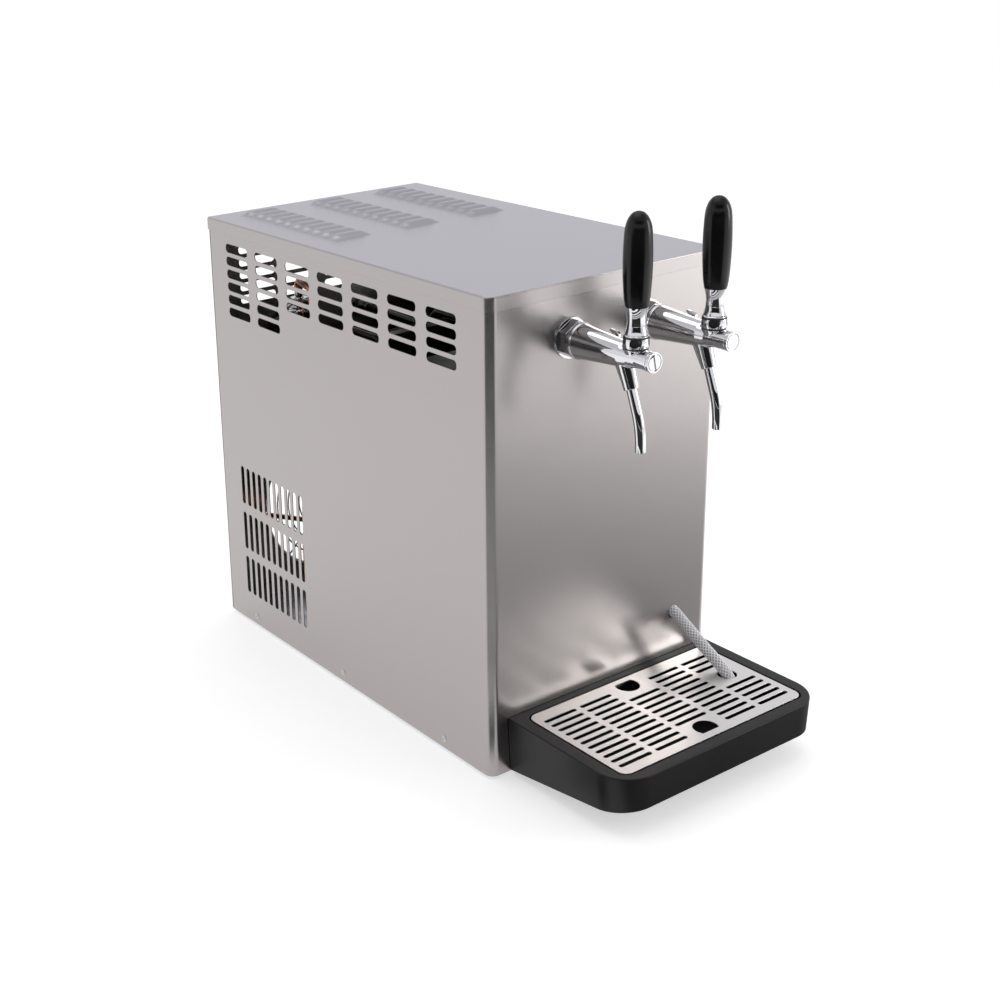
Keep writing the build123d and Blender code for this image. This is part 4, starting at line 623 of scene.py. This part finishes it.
def makeRearPanel(size, vents, wrap):
    middle, height = (wrap["bottom"] + wrap["top"]) / 2, wrap["top"] - wrap["bottom"]

    def edge(grow):
        return roundSlot(0, middle, 2 * wrap["half"], height, size["edgeCorner"], grow, 3)

    loops = []
    for column in range(size["columns"]):
        x = (column - (size["columns"] - 1) / 2) * size["columnPitch"]
        loops += [slot(x, vents["topRow"] - row * vents["rowPitch"], size["slotLength"], vents["upperHeight"],
                       vents["upperCorner"]) for row in range(size["rows"])]
    loops.append(hole(0, size["openingZ"], size["opening"], 24))
    loops += [hole(x, size["inletZ"], size["inletHole"], 10) for x in (-size["inletX"], size["inletX"])]
    loops += [slot(x, size["controlsZ"], wide, high, size["corner"], 2) for x, wide, high in size["cutOuts"]]
    loops.append(hole(size["knobX"], size["controlsZ"], size["knobHole"]))
    loops += [hole(x, z, screwSet["hole"]) for x in (-screwSet["rearX"], screwSet["rearX"])
              for z in screwSet["rearZ"]]
    shape = plate(edge, loops, wrap["sheet"])
    grainMap(shape)
    for corner in shape.verts:
        corner.co = (corner.co.x, wrap["rear"] + wrap["sheet"] - corner.co.z, corner.co.y)
    outward(shape)
    addSheet("rearPanel", shape, "cabinet", "steel", "rear_panel")


makeRearPanel(rearSet, ventSet, wrapSet)
print("rear panel is made")


# lid, with pressed louvres
lidSet = {"half": 150.0, "front": -179.0, "rear": 321.0, "top": 494.0, "band": 14.5, "sheet": 0.8,
          "corner": 10.0, "bend": 2.2, "seam": 0.6}
louvreSet = {"length": 60.0, "depth": 14.0, "rise": 4.6, "columns": 3, "columnPitch": 92.0, "rows": 10,
             "rowPitch": 19.0, "firstY": 289.0, "mouthLength": 43.0, "mouthDepth": 6.0, "sheet": 0.8,
             "shoulder": 0.55, "crest": 0.9, "sunk": 0.06}


def lidLoop(size, insetX, insetY, steps=9):
    halfX, front, rear = size["half"] - insetX, size["front"] + insetY, size["rear"] - insetY
    loop = [(halfX, rear), (-halfX, rear)]
    for side in (-1, 1):
        for k in range(steps + 1):
            angle = pi / 2 * (k / steps if side < 0 else 1 - k / steps)
            loop.append((side * (halfX - (size["corner"] - insetX) * (1 - cos(angle))),
                         front + (size["corner"] - insetY) * (1 - sin(angle))))
    return loop


def louvreMesh(size, across=26, along=9):
    shape = bmesh.new()
    rows = []
    for row in range(along + 1):
        t = row / along
        climb = sin(pi / 2 * min(1, t / size["crest"])) ** 1.3
        line = []
        for column in range(across + 1):
            s = column / across * 2 - 1
            edge = min(1, (1 - abs(s)) / size["shoulder"])
            full = edge * edge * (3 - 2 * edge) * climb
            line.append(shape.verts.new((s * size["length"] / 2, (t - 0.5) * size["depth"],
                                         size["rise"] * full - size["sunk"] * (1 - full))))
        rows.append(line)
    for first, second in zip(rows, rows[1:]):
        bridge(shape, first, second, False)
    outward(shape)
    if sum(face.normal.z for face in shape.faces) < 0:
        bmesh.ops.reverse_faces(shape, faces=shape.faces)
    wall = ("SOLIDIFY", {"thickness": size["sheet"] * mm, "offset": -1})
    return modified("louvre", asMesh("louvre", shape, 180), wall)


def gridTree():
    tree, given = newTree("louvreRows", {"Louvre": "Object", "Columns": "Int", "Rows": "Int",
                                         "Width": "Float", "Depth": "Float", "Middle": "Vector"})
    grid = socket(tree, "GeometryNodeMeshGrid", {"Size X": given["Width"], "Size Y": given["Depth"],
                                                 "Vertices X": given["Columns"], "Vertices Y": given["Rows"]})
    moved = socket(tree, "GeometryNodeTransform", {"Geometry": grid, "Translation": given["Middle"]})
    return placeTree(tree, given, "Louvre", moved)


def makeLid(size, louvres):
    top, bend, seam, wall = size["top"], size["bend"], size["seam"], size["sheet"]
    foot = top - size["band"]

    def side(drop, insetY):  # a ring at a depth below the top, as far in as the side bend is there
        rise = max(0, bend - drop)
        return bend - sqrt(max(0, bend * bend - rise * rise)), insetY, top - drop

    # rings as inset in x, inset in y and height, first up the outside and then down the inside
    outer = [(0, 0, foot + 0.2), (0, 0, top - bend), side(1.6, 0), side(1.5, 0), side(1.45, seam),
             side(0.75, seam), side(0.7, 0.02), side(0.3, 0.06), side(0.1, 0.2), (bend, 0.45, top)]
    inner = [(bend, wall + 0.5, top - wall), (wall, wall, top - bend), (wall, wall, foot + 0.2),
             (wall - 0.2, wall - 0.2, foot), (0.2, 0.2, foot)]
    depth = (louvres["rows"] - 1) * louvres["rowPitch"]
    firstMouth = louvres["firstY"] + (louvres["depth"] - louvres["mouthDepth"]) / 2
    mouths = [roundSlot((column - 1) * louvres["columnPitch"], firstMouth - row * louvres["rowPitch"],
                        louvres["mouthLength"], louvres["mouthDepth"], 1.0, 0, 2)
              for column in range(louvres["columns"]) for row in range(louvres["rows"])]
    shape = bmesh.new()
    rings = [[shape.verts.new((x, y, z)) for x, y in lidLoop(size, insetX, insetY)]
             for insetX, insetY, z in outer + inner]
    last = len(outer) - 1
    for index, (first, second) in enumerate(zip(rings, rings[1:] + rings[:1])):
        if index != last:
            bridge(shape, first, second)
    high, low = ([[shape.verts.new((x, y, level)) for x, y in loop] for loop in mouths]
                 for level in (top, top - wall))
    for first, second in zip(high, low):
        bridge(shape, first, second)
    for loops in ([rings[last]] + high, [rings[last + 1]] + low):
        edges = [shape.edges.get((loop[k - 1], loop[k])) or shape.edges.new((loop[k - 1], loop[k]))
                 for loop in loops for k in range(len(loop))]
        fill(shape, edges)
    outward(shape)
    shell = modified("lidShell", asMesh("lidShell", shape, 28), evenNormals)
    hood = workObject("louvre", louvreMesh(louvres))
    hoods = runTree("louvreRows", gridTree(), {
        "Louvre": hood, "Columns": louvres["columns"], "Rows": louvres["rows"],
        "Width": (louvres["columns"] - 1) * louvres["columnPitch"] * mm, "Depth": depth * mm,
        "Middle": Vector((0, louvres["firstY"] - depth / 2, top)) * mm, "Material": finish["lidSteel"]})
    bpy.data.objects.remove(hood)
    whole = bmesh.new()
    whole.from_mesh(shell)
    whole.from_mesh(hoods)
    grainMap(whole, lambda at, normal: (at.x, at.y) if abs(normal.z) > 0.5 else (at.x + at.y, at.z))
    addSheet("lidCover", whole, "lid", "lidSteel", "lid", 28, 1)


makeLid(lidSet, louvreSet)
print("lid is pressed")


# grille
grilleSet = {"x": (-111.5, 133.5), "y": (-324.5, -188.3), "top": 64.0, "flange": 6.0, "sheet": 1.0,
             "corner": 10.0, "columns": 5, "rows": 11, "pitch": 10.37, "slotLength": 41.5, "slotHeight": 5.0,
             "gap": 5.8, "drop": 1.5, "finger": 12.8, "fingerFlat": 0.56, "fingerRear": -194.8,
             "fingerFront": -316.0, "hose": (107.1, -248.5), "hoseHole": 10.0}


def fingerHole(centreX, flat, inward, radius, share):  # a circle cut off by a flat at a share of its radius
    def loop(grow):
        size, centreY = radius + grow, flat + inward * radius * share
        widest = acos(-(radius * share + grow) / size)
        angles = [widest * (k / 18 - 1) for k in range(37)]
        return [(centreX + size * sin(angle), centreY + inward * size * cos(angle)) for angle in angles]
    return loop


def makeGrille(size):
    (x0, x1), (y0, y1) = size["x"], size["y"]
    centreX, centreY, width, depth = (x0 + x1) / 2, (y0 + y1) / 2, x1 - x0, y1 - y0
    (hoseX, hoseY), sheet, high = size["hose"], size["sheet"], size["slotHeight"]
    step = size["slotLength"] + size["gap"]
    loops = []
    for column in range(size["columns"]):
        x = centreX + (column - (size["columns"] - 1) / 2) * step
        for row in range(size["rows"]):
            y = centreY + ((size["rows"] - 1) / 2 - row) * size["pitch"] - size["drop"]
            besideFinger = column == size["columns"] // 2 and not 1 < row < size["rows"] - 2
            besideHose = abs(x - hoseX) < step / 2 and abs(y - hoseY) < size["hoseHole"] + high
            if not besideFinger and not besideHose:
                loops.append(slot(x, y, size["slotLength"], high, high / 2 - 0.02, 4))
    loops.append(hole(hoseX, hoseY, size["hoseHole"], 10))
    for flat, inward in ((size["fingerRear"], -1), (size["fingerFront"], 1)):
        loops.append(fingerHole(centreX, flat, inward, size["finger"], size["fingerFlat"]))
    top = plate(slot(centreX, centreY, width, depth, size["corner"], 10), loops, sheet, 0.12)
    profile = [(0.12, 0.0), (0.0, 0.12), (0.0, size["flange"]), (sheet, size["flange"]), (sheet, 0.5)]
    notch = size["corner"] + 2
    flanges = []
    for x, y in ((centreX, y0), (centreX, y1), (x0, centreY), (x1, centreY)):
        inward = -1 if x > centreX or y > centreY else 1
        strip = bmesh.new()
        ends = []
        for end in (-0.5, 0.5):
            if x == centreX:
                end *= width - 2 * notch
                ends.append([strip.verts.new((x + end, y + inward * p, q)) for p, q in profile])
            else:
                end *= depth - 2 * notch
                ends.append([strip.verts.new((x + inward * p, y + end, q)) for p, q in profile])
        bridge(strip, *ends)
        strip.faces.new(ends[0])
        strip.faces.new(ends[1])
        outward(strip)
        flanges.append(strip)
    shape = joined(top, *flanges)
    for corner in shape.verts:
        corner.co.z = size["top"] - corner.co.z
    bmesh.ops.reverse_faces(shape, faces=shape.faces)
    grainMap(shape)
    addSheet("dripGrille", shape, "grille", "grille", "drip_grille")


makeGrille(grilleSet)
print("grille is cut")


# cross-recess screws of the cabinet
def screwMesh(size):
    head, rise, stem, tip = size["head"], size["rise"], size["hole"] - 0.2, -size["length"]
    profile = [(0, rise), (head * 0.45, rise - 0.02), (head * 0.75, rise - 0.14), (head * 0.92, rise - 0.36),
               (head, rise - 0.62), (head, 0), (stem, -0.02), (stem, tip), (0, tip)]
    mesh = asMesh("screw", lathe(profile, 32), 40)
    arm, width = head * size["arm"], size["armWidth"]
    cross = bmesh.new()
    outline = [(width, width), (arm, width), (arm, -width), (width, -width), (width, -arm), (-width, -arm),
               (-width, -width), (-arm, -width), (-arm, width), (-width, width), (-width, arm), (width, arm)]
    low = [cross.verts.new((x * 0.7, y * 0.7, rise - size["armDepth"])) for x, y in outline]
    high = [cross.verts.new((x, y, rise + 1)) for x, y in outline]
    cross.faces.new(low[::-1])
    cross.faces.new(high)
    bridge(cross, low, high)
    outward(cross)
    cutter = workObject("cross", asMesh("cross", cross, 40))
    cut = ("BOOLEAN", {"operation": "DIFFERENCE", "object": cutter, "solver": "EXACT"})
    result = modified("screw", mesh, cut)
    bpy.data.objects.remove(cutter)
    return result


def screwTree():
    tree, given = newTree("screwPlaces", {"Screw": "Object", "Seed": "Int"})
    facing = socket(tree, "GeometryNodeInputNamedAttribute", {"Name": "facing"}, "Attribute",
                    data_type="FLOAT_VECTOR")
    aligned = socket(tree, "FunctionNodeAlignRotationToVector", {"Vector": facing}, "Rotation")
    spin = socket(tree, "FunctionNodeRandomValue", {"Seed": given["Seed"], 3: 3.14}, 1, data_type="FLOAT")
    values = {"Rotation": aligned, "Rotate By": socket(tree, "ShaderNodeCombineXYZ", {"Z": spin})}
    turned = socket(tree, "FunctionNodeRotateRotation", values, rotation_space="LOCAL")
    return placeTree(tree, given, "Screw", given["Geometry"], Rotation=turned)


def makeScrews(size, wrap):
    rear = wrap["rear"] + wrap["sheet"]
    places = []  # place and facing of each head
    for side in (-1, 1):
        places += [((side * wrap["half"], y, size["sideZ"]), (side, 0, 0)) for y in size["sidesY"]]
    for side in (-1, 1):
        places += [((side * size["rearX"], rear, z), (0, 1, 0)) for z in size["rearZ"]]
    points = bpy.data.meshes.new("screwPlaces")
    points.from_pydata([tuple(Vector(place) * mm) for place, facing in places], [], [])
    attribute = points.attributes.new("facing", "FLOAT_VECTOR", "POINT")
    for item, (place, facing) in zip(attribute.data, places):
        item.vector = facing
    head = workObject("screw", screwMesh(size))
    mesh = runTree("screwPlaces", screwTree(), {"Screw": head, "Seed": 4, "Material": finish["zinc"]}, points)
    bpy.data.objects.remove(head)
    addPiece("cabinetScrews", mesh, "cabinet", "zinc", ("cabinet_screws",))


makeScrews(screwSet, wrapSet)
print("screws are in")


# wire guard over the exhaust, and the condenser
guardSet = {"rings": 6, "reach": 94.5, "wire": 1.2, "barReach": 96.5, "bars": (45, 135), "y": 317.8,
            "barStep": 1.08, "z": 119.0}
finSet = {"half": 100.0, "front": 166.0, "depth": 30.0, "bottom": 22.0, "height": 186.0, "count": 62,
          "thick": 0.2, "waves": 6, "waveDepth": 0.45, "edge": 1.5, "side": 2.5, "foot": 6.2, "footX": 88.0,
          "footWidth": 12.0}


def guardTree(bars):
    tree, given = newTree("guardWires", {"Rings": "Int", "Pitch": "Float", "Wire": "Float",
                                         "Bar Reach": "Float", "Bar Step": "Float"})
    values = {"Count": given["Rings"], "Offset": (0, 0, 0)}
    stack = socket(tree, "GeometryNodeMeshLine", values, mode="OFFSET")
    circle = socket(tree, "GeometryNodeCurvePrimitiveCircle", {"Resolution": 72, "Radius": given["Pitch"]})
    number = calc(tree, "ADD", socket(tree, "GeometryNodeInputIndex"), 1.0)
    values = {"Points": stack, "Instance": circle, "Scale": number}
    rings = socket(tree, "GeometryNodeInstanceOnPoints", values)
    flat = socket(tree, "GeometryNodeRealizeInstances", {0: rings})
    wires = addNode(tree, "GeometryNodeJoinGeometry", {0: flat})
    reach, step = given["Bar Reach"], given["Bar Step"]
    start = socket(tree, "ShaderNodeCombineXYZ", {"X": calc(tree, "MULTIPLY", reach, -1.0), "Z": step})
    end = socket(tree, "ShaderNodeCombineXYZ", {"X": reach, "Z": step})
    bar = socket(tree, "GeometryNodeCurvePrimitiveLine", {"Start": start, "End": end})
    for angle in bars:
        values = {"Geometry": bar, "Rotation": (0, 0, radians(angle))}
        setAll(wires, {0: socket(tree, "GeometryNodeTransform", values)})
    return sweepTree(tree, given, wires.outputs[0], given["Wire"], 10, True)


def makeGuard(size):
    mesh = runTree("guardWires", guardTree(size["bars"]), {
        "Rings": size["rings"], "Pitch": size["reach"] / size["rings"] * mm, "Wire": size["wire"] * mm,
        "Bar Reach": size["barReach"] * mm, "Bar Step": size["barStep"] * mm, "Material": finish["zinc"]})
    place = Vector((0, size["y"], size["z"])) * mm
    mesh.transform(Matrix.Translation(place) @ Matrix.Rotation(pi / 2, 4, "X"))
    mesh.shade_smooth()
    mesh.set_sharp_from_angle(angle=radians(50))
    addPiece("fanGuard", mesh, "cabinet", "chrome", ("fan_guard",))


def finMesh(size):
    shape = bmesh.new()
    steps = size["waves"] * 2
    low, high = size["bottom"] + size["edge"], size["bottom"] + size["height"] - size["edge"]
    line = [(size["waveDepth"] * (k % 2 - 0.5), size["depth"] * k / steps) for k in range(steps + 1)]
    rows = [[shape.verts.new((x, size["front"] + y, z)) for x, y in line] for z in (low, high)]
    bridge(shape, *rows, False)
    wall = ("SOLIDIFY", {"thickness": size["thick"] * mm, "offset": 0})
    return modified("fin", asMesh("fin", shape, 20), wall)


def finTree():
    tree, given = newTree("finStack", {"Fin": "Object", "Count": "Int", "Start": "Vector", "Step": "Vector"})
    values = {"Count": given["Count"], "Start Location": given["Start"], "Offset": given["Step"]}
    return placeTree(tree, given, "Fin", socket(tree, "GeometryNodeMeshLine", values, mode="OFFSET"))


def boxShape(low, high, bevel):
    shape = bmesh.new()
    bmesh.ops.create_cube(shape, size=1)
    middle, size = [(a + b) / 2 for a, b in zip(low, high)], [b - a for a, b in zip(low, high)]
    matrix = Matrix.Translation(middle) @ Matrix.Diagonal((*size, 1))
    bmesh.ops.transform(shape, matrix=matrix, verts=shape.verts)
    bmesh.ops.bevel(shape, geom=list(shape.edges), offset=bevel, segments=2, affect="EDGES",
                    clamp_overlap=True)
    return shape


def makeCondenser(size):
    half, front, rear = size["half"], size["front"], size["front"] + size["depth"]
    low, top = size["bottom"], size["bottom"] + size["height"]
    inside = half - size["side"]
    fin = workObject("fin", finMesh(size))
    mesh = runTree("finStack", finTree(), {
        "Fin": fin, "Count": size["count"], "Start": Vector((-inside, 0, 0)) * mm,
        "Step": Vector((2 * inside / (size["count"] - 1), 0, 0)) * mm, "Material": finish["aluminium"]})
    bpy.data.objects.remove(fin)
    addPiece("condenserFins", mesh, "cabinet", "aluminium", ("condenser_core",))
    frameParts = [boxShape((x, front, low), (x + 1.2, rear, top), 0.25) for x in (-half, half - 1.2)]
    frameParts += [boxShape((-half, front, z), (half, rear, z + 1), 0.2) for z in (low, top - 1)]
    for x in (-size["footX"], size["footX"]):
        wide = size["footWidth"] / 2
        frameParts += [boxShape((x - wide, front, low - 1), (x + wide, rear, low), 0.25),
                       boxShape((x - wide, front, size["foot"]), (x + wide, rear, size["foot"] + 1), 0.25),
                       boxShape((x - 0.6, front, size["foot"] + 0.5), (x + 0.6, rear, low - 0.5), 0.2)]
    mesh = asMesh("condenserFrame", joined(*frameParts), 30)
    addPiece("condenserFrame", mesh, "cabinet", "galvanised")


makeGuard(guardSet)
makeCondenser(finSet)
print("guard and fins are made")


# drip tray, taps and other pieces, smoothed from the frame's own shapes
softSet = (  # piece, node it stands for, body, finish, slot, how it is smoothed
    ("dripTray", "drip_tray", "tray", "tray", "black_tray", {"bevel": 0.7, "segments": 3, "sharp": 35}),
    ("mainsInlet", "mains_inlet", "cabinet", "black", "black_plastic", {"bevel": 0.4}),
    ("switchHousing", "switch_housing", "cabinet", "black", "black_plastic", {"bevel": 0.4}),
    ("thermostatBody", "thermostat_body", "cabinet", "black", "black_plastic", {"bevel": 0.5}),
    ("thermostatKnob", "thermostat_knob", "knob", "black", "black_plastic", {"bevel": 0.5, "segments": 3}),
    ("powerRocker", "power_rocker", "rocker", "black", "black_plastic", {"bevel": 0.4}),
    ("tapWallNuts", "tap_wall_nuts", "cabinet", "chrome", "chrome", {"bevel": 0.6, "segments": 3}),
    ("tapEndPlugs", "tap_end_plugs", "cabinet", "chrome", "chrome", {"bevel": 0.3, "segments": 3}),
    ("compressorShell", "compressor", "cabinet", "enamel", "black_paint", {"bevel": 0.3}),
    ("suctionDome", "accumulator", "cabinet", "chrome", "stainless", {}),
    ("dischargePipe", "discharge_pipe", "cabinet", "copper", "copper", {}),
    ("suctionPipe", "suction_pipe", "cabinet", "copper", "copper", {}),
    ("condenserTubes", "condenser_tubes", "cabinet", "copper", "copper", {}),
    ("evaporatorCoil", "evaporator_coil", "cabinet", "copper", "copper", {}),
    ("agitatorMotor", "agitator_motor", "cabinet", "black", "black_plastic", {"bevel": 0.5}),
    ("agitatorRotor", "agitator_rotor", "agitator", "stainless", "stainless", {}),
    ("fanMotor", "fan_motor", "cabinet", "black", "black_paint", {}),
    ("fanBlade", "fan_blade", "fan", "black", "aluminium", {"bevel": 0.3}),
    ("drainSpigot", "drain_spigot", "cabinet", "stainless", "stainless", {}),
    ("controlBox", "control_box", "cabinet", "black", "black_plastic", {}),
    ("feet", "feet", "cabinet", "rubber", "rubber", {"bevel": 0.4}),
)
tapSet = {"x": 50, "y": -263.5, "z": 438.5, "holeInside": 8.2, "holeOutside": 11.75, "holeTop": 20.5,
          "blends": (  # y, z, reach, rounds
              (-248.0, 429.5, 8.5, 30), (-252.0, 431.0, 7.0, 10), (-263.5, 446.0, 7.0, 6))}


def tapPieces(side, x, look):  # as in softSet, for one side
    blends = [((x, y, z), reach, rounds) for y, z, reach, rounds in look["blends"]]
    lever, cast = f"lever_{side}", {"voxel": 0.44, "smooth": 7, "fillets": blends}
    rows = (("tapBody", "tap_body", "cabinet", "chrome", "chrome", cast),
            ("leverCollar", "lever_collar", "cabinet", "chrome", "chrome", {"bevel": 0.35, "segments": 3}),
            ("tapNeck", "tap_lever", lever, "chrome", "chrome", {}),
            ("tapSpout", "tap_spout", "cabinet", "chrome", "chrome", {}),
            ("tapHandle", "tap_handle", lever, "handle", "black_handle", {"bevel": 0.8, "segments": 3}),
            ("flowLever", "flow_lever", f"flow_{side}", "chrome", "chrome", {"bevel": 0.5, "segments": 3}),
            ("beerInlet", "beer_inlet", "cabinet", "stainless", "stainless", {"bevel": 0.4}),
            # the beer coil gets the near-black steel as painted shade
            ("beerCoil", "beer_coil", "cabinet", "bathSteel", "stainless", {}),
            ("tapShank", "tap_shank", "cabinet", "chrome", "stainless", {}))
    return [(name + side.capitalize(), f"{node}_{side}", *rest) for name, node, *rest in rows]


def paintShadeInHoles(mesh, x, look):  # the walls of the collar's spanner holes get the black finish, as painted shade inside the holes
    mesh.materials.append(finish["black"])
    for face in mesh.polygons:
        across, along, up = face.center / mm - Vector((x, look["y"], look["z"]))
        if look["holeInside"] < sqrt(across ** 2 + along ** 2) < look["holeOutside"] and up < look["holeTop"]:
            face.material_index = 1


def makeSoft(pieces):
    for name, node, body, material, slotName, way in pieces:
        addPiece(name, softCopy(node, name, **way), body, material, (node,))


makeSoft(softSet)
for side, tapX in (("left", -tapSet["x"]), ("right", tapSet["x"])):
    makeSoft(tapPieces(side, tapX, tapSet))
    paintShadeInHoles(bpy.data.objects["leverCollar" + side.capitalize()].data, tapX, tapSet)
print("round pieces are smoothed")


# materials of the nodes that keep their own shape
nodeFinish = {
    "galvanised": ("base_pan", "fan_shroud", "fan_bracket", "equipment_shelf"), "zinc": ("hanger_screws",),
    "rubber": ("compressor_grommets",), "foam": ("tank_insulation",),
    # these inner parts get the near-black steel as painted shade
    "bathSteel": ("tank_liner", "agitator_bridge"),
    "stainless": ("tray_hanger", "tap_back_nuts", "tap_plunger_left", "tap_plunger_right")}
for material, nodes in nodeFinish.items():
    for node in nodes:
        for holder in bpy.data.objects[node].material_slots:
            holder.material = finish[material]
print("kept pieces have their materials")


# floor, world and lamps
studioSet = {"floor": 0.80, "glow": 0.50, "sky": 0.92, "skyTint": (0.97, 0.97, 1.0), "dark": 0.015,
             "darkSide": (-0.62, -0.74, 0.12), "darkFrom": 0.5, "darkTo": 0.78,
             "darkBands": ((0.20, 1), (0.24, 0), (0.38, 0), (0.42, 1), (0.66, 1), (0.72, 0)),
             "zenith": 0.7, "zenithFrom": (0.32, 0.62)}
lampSet = (  # name, place, aim, size, watts
    ("stripRight", (1.75, -1.60, 0.85), (0.1, -0.2, 0.35), (0.55, 1.2), 14),
    ("softTop", (-0.1, 0.2, 2.4), (0, 0, 0.3), (2.0, 2.0), 12),
)
flagSet = {"corner": (-0.17, -0.20), "steps": 14, "height": 0.0015, "rings": (
    # sectors of dark cloth: first and last angle, inner and outer reach, grey at both
    *((170, 279, near, near + 0.09, 0.012, 0.012) for near in (0.02, 0.175, 0.33, 0.485, 0.64, 0.795)),
    (170, 279, 0.95, 8.0, 0.012, 0.012),
    (279, 352, 0.16, 1.1, 0.30, 0.75))}


def makeFloor(look):  # its glow is seen by the camera, by reflections and through clear pieces only
    shape = bmesh.new()
    bmesh.ops.create_grid(shape, x_segments=1, y_segments=1, size=9)
    mesh = asMesh("floor", shape, 30, 1)
    material, tree, shader = newMaterial("paleFloor")
    setAll(shader, {"Base Color": (look["floor"],) * 3 + (1,), "Roughness": 0.9})
    rays = tree.nodes.new("ShaderNodeLightPath").outputs
    seen = calc(tree, "MAXIMUM", rays["Is Camera Ray"], rays["Is Glossy Ray"])
    strength = calc(tree, "MULTIPLY", calc(tree, "MAXIMUM", seen, rays["Is Transmission Ray"]), look["glow"])
    glow = socket(tree, "ShaderNodeEmission", {"Color": (1, 1, 1, 1), "Strength": strength})
    both = socket(tree, "ShaderNodeAddShader", {0: shader.outputs[0], 1: glow})
    setAll(tree.nodes["Material Output"], {"Surface": both})
    mesh.materials.append(material)
    workObject("floor", mesh)


def makeFlag(look, first, last, near, far, nearGrey, farGrey):  # only reflections see it
    shape = bmesh.new()
    (x, y), steps = look["corner"], look["steps"]
    angles = [radians(first + (last - first) * k / steps) for k in range(steps + 1)]
    rows = [[shape.verts.new((x + reach * cos(angle), y + reach * sin(angle), look["height"]))
             for reach in (near, far)] for angle in angles]
    for before, after in zip(rows, rows[1:]):
        bridge(shape, before, after, False)
    mesh = asMesh("darkCloth", shape, 30, 1)
    flag = workObject("darkCloth", mesh)
    material, tree, shader = newMaterial("darkCloth")
    apart = vectorCalc(tree, "DISTANCE", socket(tree, "ShaderNodeTexCoord", output="Object"), (x, y, 0))
    setAll(shader, {"Roughness": 1.0, "Base Color": mapRange(tree, apart, near, far, nearGrey, farGrey)})
    mesh.materials.append(material)
    flag.visible_camera = flag.visible_diffuse = flag.visible_shadow = flag.visible_transmission = False


def colourRamp(tree, value, stops):
    node = addNode(tree, "ShaderNodeValToRGB", {0: value})
    while len(node.color_ramp.elements) < len(stops):
        node.color_ramp.elements.new(0.5)
    for stop, (place, colour) in zip(node.color_ramp.elements, stops):
        stop.position, stop.color = place, (*colour, 1)
    return node.outputs[0]


def makeWorld(look):  # white to the camera, else a sky with a dark side in bands and a dimmer zenith
    world = bpy.data.worlds.new("studio")
    scene.world = world
    world.use_nodes = True
    tree = world.node_tree
    direction = socket(tree, "ShaderNodeTexCoord", output="Generated")
    height = socket(tree, "ShaderNodeSeparateXYZ", {0: direction}, "Z")
    bands = colourRamp(tree, height, [(place, (amount,) * 3) for place, amount in look["darkBands"]])
    towards = vectorCalc(tree, "DOT_PRODUCT", direction, Vector(look["darkSide"]).normalized())
    sky = [look["sky"] * c for c in look["skyTint"]]
    stops = ((look["darkFrom"], sky), (look["darkTo"], (look["dark"],) * 3))
    shade = colourRamp(tree, calc(tree, "MULTIPLY", towards, bands), stops)
    above = mapRange(tree, height, *look["zenithFrom"], 1.0, look["zenith"])
    dimmed = vectorCalc(tree, "SCALE", shade, above)
    seen = socket(tree, "ShaderNodeLightPath", output="Is Camera Ray")
    setAll(tree.nodes["Background"], {"Color": mixColour(tree, seen, dimmed, (1, 1, 1))})


def makeLamps(lamps):
    for name, place, aim, size, watts in lamps:
        data = bpy.data.lights.new(name, "AREA")
        data.shape, data.size, data.size_y, data.energy = "RECTANGLE", size[0], size[1], watts
        lamp = workObject(name, data)
        lamp.location = place
        lamp.rotation_mode = "QUATERNION"
        lamp.rotation_quaternion = (Vector(aim) - Vector(place)).to_track_quat("-Z", "Y")


makeFloor(studioSet)
for ring in flagSet["rings"]:
    makeFlag(flagSet, *ring)
makeWorld(studioSet)
makeLamps(lampSet)
print("studio is lit")
